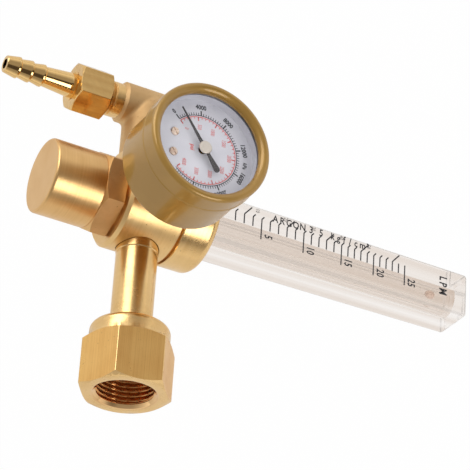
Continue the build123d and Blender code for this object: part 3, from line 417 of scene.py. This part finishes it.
# Inlet stem: turned tube, polished along the lathe's lines, pressed into the body.
# Its sintered bronze filter and nylon washer show in the nut's mouth.
turned_x_brass = brass(
    "turned_x_brass", brass_colour, brass_dark, 0.25,
    lines=(2400, 30, 30), lines_depth=0.00002, pits=0.00001,
)
dress("inlet_stem", turned_x_brass)
sintered_bronze = brass(
    "sintered_bronze", (0.42, 0.26, 0.13), (0.25, 0.15, 0.08), 0.55, sand=0.0002
)
dress("inlet_filter", sintered_bronze)
nylon = plain("nylon", (0.70, 0.68, 0.62), (0.82, 0.80, 0.75), scale=400.0, roughness=0.45)
dress("inlet_washer", nylon)

# Inlet nut: turned from hexagon bar, drawn flats with long fine lines, a bright countersink and
# a cut internal thread. The thread replaces the plain wall of the CAD nut.
nut_flat = 0.015
nut_corner = 0.0168
nut_corner_length = 0.008
nut_edge = 0.0003
thread_start, thread_end = -0.0116, 0.0
minor_r, root_r = 0.0103, 0.01146
bore_limit = 0.0119
mouth_limit = 0.0122
same_flat = 0.0001
same_wall = 2e-5
same_plane = radians(0.5)
cut_crease = radians(28)
nut_brass = brass(
    "nut_brass", (0.92, 0.565, 0.195), (0.76, 0.42, 0.13), 0.33,
    lines=(16, 3000, 3000), lines_depth=0.00002, pits=0.00004,
)
cut_brass = brass(
    "cut_brass", (0.82, 0.42, 0.15), (0.62, 0.27, 0.09), 0.22,
    lines=(1500, 30, 30), lines_depth=0.00001,
)
mouth_brass = brass(
    "mouth_brass", (0.90, 0.60, 0.30), (0.74, 0.44, 0.19), 0.12,
    lines=(2600, 40, 40), lines_depth=0.00001,
)


def body_piece(name, mesh, material, body):
    """Adds a finished mesh as a piece of the object that rides on a body."""
    piece = bpy.data.objects.new(name, mesh)
    bpy.context.collection.objects.link(piece)
    mesh.materials.clear()
    mesh.materials.append(material)
    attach(piece, body)
    return piece


def machined(copy, skin):
    """The worked skin as a mesh with its cut edges sharp, shaded by the larger faces as turned
    metal is."""
    skin.to_mesh(copy)
    skin.free()
    for face in copy.polygons:
        face.use_smooth = True
    copy.set_sharp_from_angle(angle=cut_crease)
    holder = bpy.data.objects.new(copy.name, copy)
    bpy.context.collection.objects.link(holder)
    weighted = holder.modifiers.new("weighted", "WEIGHTED_NORMAL")
    weighted.keep_sharp = True
    weighted.weight = 90
    seen = bpy.context.evaluated_depsgraph_get()
    made = bpy.data.meshes.new_from_object(holder.evaluated_get(seen))
    bpy.data.objects.remove(holder)
    made.name = copy.name
    return made


def eased(skin, edges, width):
    """Takes the sharpness off long edges, as a file or a mould does."""
    bmesh.ops.bevel(skin, geom=edges, offset=width, segments=2, affect="EDGES", profile=0.5)


def thread_skin(length, pitch, crest, root, per_turn, per_pitch, run_out):
    """Points of a threaded wall as (along, angle, radius) rows. The profile is a slope that
    overshoots crest and root and is cut flat there, and it fades at both ends."""
    overshoot = 0.125
    rows = []
    steps = int(round(length / pitch * per_pitch))
    for i in range(steps + 1):
        along = length * i / steps
        fade = min(1.0, along / run_out, (length - along) / run_out)
        row = []
        for k in range(per_turn):
            turn = tau * k / per_turn
            phase = (along / pitch - k / per_turn) % 1.0
            slope = 2 * abs(phase - 0.5)
            wave = min(1.0, max(0.0, (1 + 2 * overshoot) * slope - overshoot))
            row.append((along, turn, crest + (root - crest) * wave * fade))
        rows.append(row)
    return rows


def wall_between(skin, rings, outside):
    """Fills a round wall between rings of vertices, facing outwards or into its bore."""
    for low_ring, high_ring in zip(rings, rings[1:]):
        for k in range(len(low_ring)):
            n = (k + 1) % len(low_ring)
            beside, above = low_ring[n], high_ring[k]
            if not outside:
                beside, above = above, beside
            skin.faces.new((low_ring[k], beside, high_ring[n], above))


def from_inlet(point):
    """How far a point lies from the inlet's level axis."""
    return sqrt(point.y**2 + point.z**2)


nut_copy, skin = opened("inlet_nut", "inlet_nut_threaded")
outside = [
    edge
    for edge in skin.edges
    if all(from_inlet(vert.co) > nut_flat - same_flat for vert in edge.verts)
]
bmesh.ops.dissolve_limit(skin, angle_limit=same_plane, verts=[], edges=outside)
corners = [
    edge
    for edge in skin.edges
    if edge.calc_length() > nut_corner_length
    and all(from_inlet(vert.co) > nut_corner for vert in edge.verts)
]
eased(skin, corners, nut_edge)
wall = [
    face
    for face in skin.faces
    if all(abs(from_inlet(vert.co) - minor_r) < same_wall for vert in face.verts)
]
bmesh.ops.delete(skin, geom=wall, context="FACES")
rows = thread_skin(
    thread_end - thread_start,
    pitch=0.001814, crest=minor_r, root=root_r, per_turn=120, per_pitch=16, run_out=0.0009,
)
rings = [
    [skin.verts.new((thread_start + along, r * cos(turn), r * sin(turn))) for along, turn, r in row]
    for row in rows
]
wall_between(skin, rings, outside=False)
nut_copy = machined(nut_copy, skin)
inlet_nut = body_piece("inlet_nut_threaded", nut_copy, nut_brass, "inlet_nut")
for metal in (cut_brass, turned_x_brass, mouth_brass):
    nut_copy.materials.append(metal)
for face in nut_copy.polygons:
    reach = max(from_inlet(nut_copy.vertices[v].co) for v in face.vertices)
    level = face.center.y * face.normal.y + face.center.z * face.normal.z
    if reach < bore_limit and face.center.x < thread_end:
        face.material_index = 1
    elif reach < mouth_limit:
        face.material_index = 3
    elif abs(level - nut_flat) > same_flat:
        face.material_index = 2
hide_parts("inlet_nut")

# Flow tube collar: turned brass ring, polished bright and screwed tight. Its lip holds the clear
# cover's foot down on a rubber seal.
turned_z_brass = brass(
    "turned_z_brass", brass_colour, brass_dark, 0.25,
    lines=(40, 40, 1100), lines_depth=0.00001, pits=0.00001,
)
dress("tube_collar", turned_z_brass)
dress("tube_seal", seal_rubber)

# Gauge socket, washer and case. The case is drawn steel, sprayed ochre and lacquered, and the
# bezel is rolled over its edge in the same paint. Inside is the movement with its bronze tube.
socket_brass = brass(
    "socket_brass", brass_colour, brass_dark, 0.25, lines=(30, 2000, 30), lines_depth=0.00002
)
dress("gauge_socket", socket_brass)
copper = brass(
    "copper", (0.60, 0.28, 0.15), (0.45, 0.20, 0.10), 0.35,
    lines=(30, 2000, 30), lines_depth=0.00002,
)
dress("gauge_washer", copper)


def paint(name, pale, deep, roughness):
    """Sprayed metallic paint under lacquer, with the faint ripple of a sprayed coat."""
    coat, tree, shader, place = finish(name)
    shader.inputs["Metallic"].default_value = 0.35
    shader.inputs["Roughness"].default_value = roughness
    shader.inputs["Coat Weight"].default_value = 0.6
    shader.inputs["Coat Roughness"].default_value = 0.07
    cloud = noise(tree, place, scale=60.0, detail=3.0)
    tone = colour_ramp(tree, cloud, deep, pale, start=0.35, end=0.65)
    tree.links.new(tone.outputs[0], shader.inputs["Base Color"])
    ripple = relief(tree, noise(tree, place, scale=1400.0), depth=0.000012)
    tree.links.new(ripple, shader.inputs["Normal"])
    return coat


ochre_paint = paint("ochre_paint", (0.47, 0.268, 0.05), (0.41, 0.23, 0.04), 0.38)
dress("gauge_case", ochre_paint)
dress("gauge_bezel", ochre_paint)
for name in (
    "movement_back_plate", "movement_front_plate", "sector_gear", "pinion", "link", "bourdon_tip",
):
    dress(name, inner_brass)
tube_bronze = brass(
    "tube_bronze", (0.55, 0.33, 0.16), (0.42, 0.25, 0.12), 0.3,
    lines=(30, 1500, 30), lines_depth=0.00002,
)
dress("bourdon_tube", tube_bronze)

# Dial: aluminium disc printed silver white, with a black outer scale and a red inner one.
# The print is a thin skin on the face. Its ticks are bars set out round the dial by Geometry
# Nodes, and the figures are the scale's plain numbers.
dial_y = -0.0472
print_skin = 0.00003
# radii in millimetres and clock angles in degrees
scale_start, scale_end = -135, 135
black_figure_step = 39.16
red_figure_step = 33.75
circle_width = 0.3
black_figure_radius = 16.9
red_figure_radius = 10.6
red_figure_inset = 1.6
silver_white = plain(
    "silver_white", (0.53, 0.525, 0.56), (0.59, 0.585, 0.62),
    scale=90.0, roughness=0.42, metallic=0.15, start=0.3, end=0.7,
)
dress("gauge_dial", silver_white)
dress("dial_ring", silver_white)


def ink(name, colour):
    """Printing ink, slightly uneven where it lies thin."""
    deep = tuple(c * 0.8 for c in colour)
    pale = tuple(min(1, c * 1.25) for c in colour)
    return plain(name, deep, pale, scale=2500.0, roughness=0.5)


black_ink = ink("black_ink", (0.035, 0.035, 0.04))
red_ink = ink("red_ink", (0.60, 0.09, 0.08))


def bars_tree():
    """Node group that sets a printed bar on each mark, turned and stretched by its values."""
    group = bpy.data.node_groups.new("printed_bars", "GeometryNodeTree")
    face = group.interface
    face.new_socket("Marks", in_out="INPUT", socket_type="NodeSocketGeometry")
    for name in ("Bar width", "Bar thickness"):
        face.new_socket(name, in_out="INPUT", socket_type="NodeSocketFloat")
    face.new_socket("Ink", in_out="INPUT", socket_type="NodeSocketMaterial")
    face.new_socket("Bars", in_out="OUTPUT", socket_type="NodeSocketGeometry")
    add, join = group.nodes.new, group.links.new
    inside = add("NodeGroupInput")
    outside = add("NodeGroupOutput")
    bar_size = add("ShaderNodeCombineXYZ")
    bar_size.inputs["Z"].default_value = 1.0
    join(inside.outputs["Bar width"], bar_size.inputs["X"])
    join(inside.outputs["Bar thickness"], bar_size.inputs["Y"])
    bar = add("GeometryNodeMeshCube")
    join(bar_size.outputs[0], bar.inputs["Size"])
    angles = add("ShaderNodeCombineXYZ")
    stretch = add("ShaderNodeCombineXYZ")
    stretch.inputs["X"].default_value = 1.0
    stretch.inputs["Y"].default_value = 1.0
    for label, into in (("turn", angles.inputs["Y"]), ("reach", stretch.inputs["Z"])):
        value = add("GeometryNodeInputNamedAttribute")
        value.data_type = "FLOAT"
        value.inputs["Name"].default_value = label
        join(value.outputs["Attribute"], into)
    place = add("GeometryNodeInstanceOnPoints")
    join(inside.outputs["Marks"], place.inputs["Points"])
    join(bar.outputs["Mesh"], place.inputs["Instance"])
    join(angles.outputs[0], place.inputs["Rotation"])
    join(stretch.outputs[0], place.inputs["Scale"])
    real = add("GeometryNodeRealizeInstances")
    join(place.outputs[0], real.inputs[0])
    inked = add("GeometryNodeSetMaterial")
    join(real.outputs[0], inked.inputs["Geometry"])
    join(inside.outputs["Ink"], inked.inputs["Material"])
    join(inked.outputs[0], outside.inputs["Bars"])
    return group


bars_group = bars_tree()


def printed_bars(name, marks, width, material):
    """Bars at (centre, turn, length) marks, as one plain mesh."""
    points = bpy.data.meshes.new(name + "_marks")
    points.from_pydata([mark[0] for mark in marks], [], [])
    for label, column in (("turn", 1), ("reach", 2)):
        values = points.attributes.new(label, "FLOAT", "POINT")
        values.data.foreach_set("value", [mark[column] for mark in marks])
    holder = bpy.data.objects.new(name, points)
    bpy.context.collection.objects.link(holder)
    modifier = holder.modifiers.new("bars", "NODES")
    modifier.node_group = bars_group
    wanted = {"Bar width": width, "Bar thickness": print_skin, "Ink": material}
    for item in bars_group.interface.items_tree:
        if item.in_out == "INPUT" and item.name in wanted:
            modifier[item.identifier] = wanted[item.name]
    seen = bpy.context.evaluated_depsgraph_get()
    mesh = bpy.data.meshes.new_from_object(holder.evaluated_get(seen))
    bpy.data.objects.remove(holder)
    mesh.name = name
    return mesh


def dial_point(clock, radius, depth=0.0):
    """A point on the dial's face by its clock angle and radius."""
    a = radians(clock)
    return Vector(
        (body_x + radius / 1000 * sin(a), dial_y - print_skin / 2 - depth, radius / 1000 * cos(a))
    )


def dial_marks(step, count, inner, outer):
    """Radial marks from one radius to another, set out from the scale's start."""
    marks = []
    for i in range(count):
        clock = scale_start + step * i
        middle = dial_point(clock, (inner + outer) / 2)
        marks.append((middle, radians(clock), (outer - inner) / 1000))
    return marks


for name, colour, step, count, inner, outer, width in (
    ("dial_ticks_black", black_ink, black_figure_step / 10, 69, 13.7, 14.7, 0.00026),
    ("dial_ticks_black_long", black_ink, black_figure_step, 7, 13.7, 15.6, 0.0005),
    ("dial_ticks_red", red_ink, red_figure_step / 5, 41, 12.2, 13.0, 0.00024),
    ("dial_ticks_red_long", red_ink, red_figure_step, 9, 11.5, 13.0, 0.00042),
):
    ticks = printed_bars(name, dial_marks(step, count, inner, outer), width, colour)
    body_piece(name, ticks, colour, "regulator")


def arc_print(name, radius, segments=120):
    """A printed line round the dial, from the scale's start to its end."""
    skin = bmesh.new()
    previous = None
    for i in range(segments + 1):
        clock = scale_start + (scale_end - scale_start) * i / segments
        pair = [
            skin.verts.new(dial_point(clock, radius + side * circle_width / 2, print_skin / 2))
            for side in (-1, 1)
        ]
        if previous:
            skin.faces.new((previous[0], pair[0], pair[1], previous[1]))
        previous = pair
    bmesh.ops.recalc_face_normals(skin, faces=skin.faces)
    made = bpy.data.meshes.new(name)
    skin.to_mesh(made)
    skin.free()
    return made


for name, radius, colour in (
    ("dial_circle_red", 13.05, red_ink),
    ("dial_circle_black", 13.65, black_ink),
):
    body_piece(name, arc_print(name, radius), colour, "regulator")


def printed_figures(name, items, material, size, squeeze, weight=0.022, spacing=1.0):
    """Numbers and units printed flat on a face that looks along -Y. Items are (text, centre,
    turn); squeeze narrows the figures, weight thickens them and spacing sets them apart."""
    joined = bmesh.new()
    for text, centre, turn in items:
        letters = bpy.data.curves.new("figure", "FONT")
        letters.body = text
        letters.size = size
        letters.space_character = spacing
        letters.align_x = "CENTER"
        letters.align_y = "CENTER"
        letters.resolution_u = 2
        letters.offset = size * weight
        holder = bpy.data.objects.new("figure", letters)
        bpy.context.collection.objects.link(holder)
        seen = bpy.context.evaluated_depsgraph_get()
        flat = bpy.data.meshes.new_from_object(holder.evaluated_get(seen))
        bpy.data.objects.remove(holder)
        right = Vector((cos(turn), 0, -sin(turn)))
        up = Vector((sin(turn), 0, cos(turn)))
        flat.transform(
            Matrix.Translation(centre)
            @ Matrix((right * squeeze, up, Vector((0, -1, 0)))).transposed().to_4x4()
        )
        joined.from_mesh(flat)
        bpy.data.meshes.remove(flat)
    made = bpy.data.meshes.new(name)
    joined.to_mesh(made)
    joined.free()
    return body_piece(name, made, material, "regulator")


kilopascals = []
for i in range(7):
    clock = scale_start + black_figure_step * i
    middle = dial_point(clock, black_figure_radius, print_skin)
    kilopascals.append((str(4000 * i), middle, radians(clock)))
printed_figures(
    "dial_figures_black", kilopascals, black_ink, size=0.0025, squeeze=0.84, weight=0.032
)
pounds = []
for i in range(9):
    clock = scale_start + red_figure_step * i
    radius = red_figure_radius - red_figure_inset * abs(sin(radians(clock)))
    pounds.append((str(500 * i), dial_point(clock, radius, print_skin), 0.0))
printed_figures("dial_figures_red", pounds, red_ink, size=0.0023, squeeze=0.62, weight=0.0)
black_unit_clock = 3
red_unit_clock, red_unit_radius = 180, 3.9
black_unit_place = dial_point(black_unit_clock, black_figure_radius, print_skin)
printed_figures(
    "dial_unit_black", [("kPa", black_unit_place, radians(black_unit_clock))], black_ink,
    size=0.0021, squeeze=0.9,
)
red_unit_place = dial_point(red_unit_clock, red_unit_radius, print_skin)
printed_figures(
    "dial_unit_red", [("psi", red_unit_place, 0.0)], red_ink, size=0.0024, squeeze=0.9
)

# Pointer, hub, screws and lens. The pointer is stamped and blackened, its hub is nickel plated,
# two brass screws hold the dial and the lens is flat glass.
dress("pointer", ink("blackening", (0.045, 0.04, 0.04)))
hub_nickel = brass("hub_nickel", (0.62, 0.56, 0.49), (0.52, 0.46, 0.39), 0.32, pits=0.000004)
dress("pointer_hub", hub_nickel)
screw_brass = brass("screw_brass", (0.74, 0.60, 0.49), (0.57, 0.43, 0.34), 0.3, pits=0.00001)
dress("dial_screws", screw_brass)


def clear(name, colour, roughness, ior, stretch):
    """Clear glass or plastic with the faint waves and tint bands of a moulded face. It lets the
    lamps' light through to what is inside it."""
    glass, tree, shader, place = finish(name)
    shader.inputs["Transmission Weight"].default_value = 1.0
    shader.inputs["IOR"].default_value = ior
    shader.inputs["Roughness"].default_value = roughness
    flow = stretched(tree, place, stretch)
    waves = relief(tree, noise(tree, flow, scale=1.0, detail=0.0), depth=0.000025)
    tree.links.new(waves, shader.inputs["Normal"])
    paler = tuple(c ** 0.4 for c in colour)
    bands = noise(tree, flow, scale=0.8, detail=1.0)
    tint = colour_ramp(tree, bands, colour, paler, start=0.4, end=0.6)
    tree.links.new(tint.outputs[0], shader.inputs["Base Color"])
    open_way = tree.nodes.new("ShaderNodeBsdfTransparent")
    open_way.inputs["Color"].default_value = (*colour, 1)
    rays = tree.nodes.new("ShaderNodeLightPath")
    either = mixed(tree, rays.outputs["Is Shadow Ray"], shader.outputs[0], open_way.outputs[0])
    tree.links.new(either, tree.nodes["Material Output"].inputs["Surface"])
    return glass


lens_glass = clear("lens_glass", (0.99, 0.99, 1.0), roughness=0.0, ior=1.1, stretch=(90, 90, 90))
dress("gauge_lens", lens_glass)

# Flow tube: an injection moulded clear cover over a clear tapered tube, in which the ball rides
# between two stops. The scale is printed on the cover's front face, long bars at every fifth
# unit. The slanted strokes at the ticks' tops are painted refraction, the ticks' second images
# through the acrylic, drawn as ink.
cover_corner_length = 0.006
cover_corner_angle = radians(60)
cover_edge = 0.0005
cover_outside = 0.0085
square_face = 0.96
acrylic_index = 1.13
down_the_tube = (260, 260, 3)
acrylic = clear(
    "acrylic", (0.79, 0.715, 0.655), roughness=0.0, ior=acrylic_index, stretch=down_the_tube
)
# bevelled edges: the acrylic with a darker tint and rougher, painted shade standing for the grey
# lines that refraction gives along the cover's edges
edge_painted_shade = clear(
    "edge_painted_shade", (0.46, 0.425, 0.40), roughness=0.55, ior=acrylic_index, stretch=down_the_tube
)
cover_copy, skin = opened("flow_tube_cover", "flow_tube_cover_moulded")
bmesh.ops.dissolve_limit(skin, angle_limit=same_plane, verts=skin.verts, edges=skin.edges)
corners = [
    edge
    for edge in skin.edges
    if edge.calc_length() > cover_corner_length
    and len(edge.link_faces) == 2
    and edge.calc_face_angle() > cover_corner_angle
]
eased(skin, corners, cover_edge)
cover_copy = machined(cover_copy, skin)
cover = body_piece("flow_tube_cover_moulded", cover_copy, acrylic, "regulator")
cover_copy.materials.append(edge_painted_shade)
# the slanted bevel faces round the cover's outside take the painted edge shade
for face in cover_copy.polygons:
    slanted = max(abs(c) for c in face.normal) < square_face
    if slanted and max(abs(face.center.x - body_x), abs(face.center.y)) > cover_outside:
        face.material_index = 1
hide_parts("flow_tube_cover")
inner_acrylic = clear(
    "inner_acrylic", (0.985, 0.975, 0.965), roughness=0.0, ior=1.05, stretch=(300, 300, 3)
)
for name in ("inner_tube", "ball_stop_top", "ball_stop_bottom"):
    dress(name, inner_acrylic)
dress("inner_tube_seal", seal_rubber)
ball_resin = plain(
    "ball_resin", (0.84, 0.75, 0.72), (0.93, 0.86, 0.83),
    scale=500.0, roughness=0.12, metallic=0.35,
)
dress("float_ball", ball_resin)

# the heights and widths in millimetres of the print and of the painted refraction strokes
fifth_heights = (26.4, 44.65, 62.48, 78.68, 92.63, 106.25)
unit_heights = {}
for unit in range(2, 26):
    fifth = min(unit // 5, 4)
    step = (fifth_heights[fifth + 1] - fifth_heights[fifth]) / 5
    unit_heights[unit] = fifth_heights[fifth] + step * (unit - 5 * fifth)
foot_height = 20.0
half_depth_at_foot = 9.65
taper = 0.00782
print_gap = 0.00001
bar_left = -4.35
long_bar_right, short_bar_right = 4.0, -0.4
last_slanted = 23
long_slant, short_slant = 4.6, 1.5
slant_turn = radians(-50.3)
slant_across, slant_up = 0.385, 0.32
bar_width = 0.0005
figure_x, figure_lift = 2.2, 2.9
small_figure_x, small_figure_foot, small_figure_step = -7.3, 30.7, 11.9
unit_x, unit_z = -1.0, 123.2
gas_x, gas_lean, gas_lean_from = -6.1, 0.02, 50
gas_signs = "ARGON35kgf/cm\u00b2"
gas_heights = (
    50.2, 53.1, 56.0, 58.9, 61.8, 65.4, 69.7, 74.6, 77.2, 79.6, 82.2, 84.7, 87.6, 89.9,
)


def tube_front(x_mm, z_mm):
    """A point on the cover's printed face."""
    half_depth = half_depth_at_foot - (z_mm - foot_height) * taper
    y = -half_depth / 1000 - print_skin / 2 - print_gap
    return Vector((body_x + x_mm / 1000, y, z_mm / 1000))


tube_bars = []
for unit, z in unit_heights.items():
    right = long_bar_right if unit % 5 == 0 else short_bar_right
    middle = tube_front((bar_left + right) / 2, z)
    tube_bars.append((middle, radians(90), (right - bar_left) / 1000))
    # slanted strokes: painted refraction, each tick's second image through the acrylic, drawn in
    # black ink
    if unit <= last_slanted:
        reach = long_slant if unit % 5 == 3 else short_slant
        middle = tube_front(bar_left - reach * slant_across, z + reach * slant_up)
        tube_bars.append((middle, slant_turn, reach / 1000))
ticks_and_refraction_bars = printed_bars("tube_ticks_and_painted_refraction", tube_bars, bar_width, black_ink)
body_piece("tube_ticks_and_painted_refraction", ticks_and_refraction_bars, black_ink, "regulator")
above_print = Vector((0, -print_skin, 0))
litres = []
for unit in (5, 10, 15, 20, 25):
    middle = tube_front(figure_x, unit_heights[unit] + figure_lift) + above_print
    litres.append((str(unit), middle, 0.0))
printed_figures("tube_figures", litres, black_ink, size=0.0045, squeeze=0.74)
tens = []
for i in range(1, 6):
    middle = tube_front(small_figure_x, small_figure_foot + small_figure_step * i) + above_print
    tens.append((str(10 * i), middle, 0.0))
pale_ink = ink("pale_ink", (0.30, 0.28, 0.27))
printed_figures("tube_figures_small", tens, pale_ink, size=0.0022, squeeze=0.8)
printed_figures(
    "tube_unit", [("LPM", tube_front(unit_x, unit_z) + above_print, 0.0)], black_ink,
    size=0.0046, squeeze=0.78, weight=0.03, spacing=1.4,
)
gas_line = []
for sign, z in zip(gas_signs, gas_heights):
    middle = tube_front(gas_x - gas_lean * (z - gas_lean_from), z) + above_print
    gas_line.append((sign, middle, radians(-90)))
printed_figures("tube_gas", gas_line, black_ink, size=0.0040, squeeze=0.85)

# Outlet nipple, needle and gland: the nipple's cut thread shows above the union nut, and the
# gland nut holds the needle's rubber packing. All are turned, and the gland nut is polished.
outlet_x = -0.1150
outside_r = 0.00655
nipple_thread_depth = 0.00055
nipple_thread_top = -0.0158
nipple_copy, skin = opened("outlet_nipple", "outlet_nipple_threaded")
wall = [
    face
    for face in skin.faces
    if all(abs(from_upright(vert.co, outlet_x) - outside_r) < same_wall for vert in face.verts)
]
wall_low = min(vert.co.z for face in wall for vert in face.verts)
wall_high = max(vert.co.z for face in wall for vert in face.verts)
bmesh.ops.delete(skin, geom=wall, context="FACES")
rows = thread_skin(
    nipple_thread_top - wall_low,
    pitch=0.00106, crest=outside_r, root=outside_r - nipple_thread_depth,
    per_turn=96, per_pitch=12, run_out=0.0005,
)
rows.append([(wall_high - wall_low, turn, outside_r) for along, turn, r in rows[0]])
rings = [
    [
        skin.verts.new((outlet_x + r * cos(turn), r * sin(turn), wall_low + along))
        for along, turn, r in row
    ]
    for row in rows
]
wall_between(skin, rings, outside=True)
nipple_copy = machined(nipple_copy, skin)
nipple_brass = brass(
    "nipple_brass", brass_colour, brass_dark, 0.28, lines=(40, 40, 2200), lines_depth=0.00001
)
nipple = body_piece(
    "outlet_nipple_threaded", nipple_copy, nipple_brass, "regulator"
)
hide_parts("outlet_nipple")
dress("needle_spindle", inner_brass)
dress("gland_packing", seal_rubber)
bright_brass = brass(
    "bright_brass", (0.92, 0.63, 0.27), (0.84, 0.55, 0.22), 0.07,
    lines=(40, 40, 1500), lines_depth=0.000002,
)
dress("gland_nut", bright_brass)

# Union nut and hose tail: turned from brass bar and polished bright, the nut on a wheel, which
# leaves its flats a little wavy. The nut draws the tail up to the nipple.
union_corner = 0.0094
union_corner_length = 0.006
union_edge = 0.0002
dress("hose_barb", bright_brass)
wheel_brass = brass(
    "wheel_brass", (0.90, 0.60, 0.24), (0.76, 0.47, 0.17), 0.12,
    lines=(800, 800, 40), lines_depth=0.000004, pits=0.00004, waves=0.00006,
)
union_copy, skin = opened("outlet_nut", "outlet_nut_edged")
bmesh.ops.dissolve_limit(skin, angle_limit=same_plane, verts=skin.verts, edges=skin.edges)
corners = [
    edge
    for edge in skin.edges
    if edge.calc_length() > union_corner_length
    and all(from_upright(vert.co, outlet_x) > union_corner for vert in edge.verts)
]
eased(skin, corners, union_edge)
union_copy = machined(union_copy, skin)
union = body_piece("outlet_nut_edged", union_copy, wheel_brass, "outlet_nut")
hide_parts("outlet_nut")

# Knob: moulded black plastic with finger flutes, held on the needle's spindle by a bright steel
# screw.
black_plastic = plain(
    "black_plastic", (0.018, 0.018, 0.018), (0.035, 0.035, 0.035),
    scale=2600.0, roughness=0.42, grain=0.00003,
)
dress("knob", black_plastic)
bright_steel = plain(
    "bright_steel", (0.50, 0.48, 0.44), (0.68, 0.66, 0.62),
    scale=900.0, roughness=0.25, metallic=1.0,
)
dress("knob_screw", bright_steel)
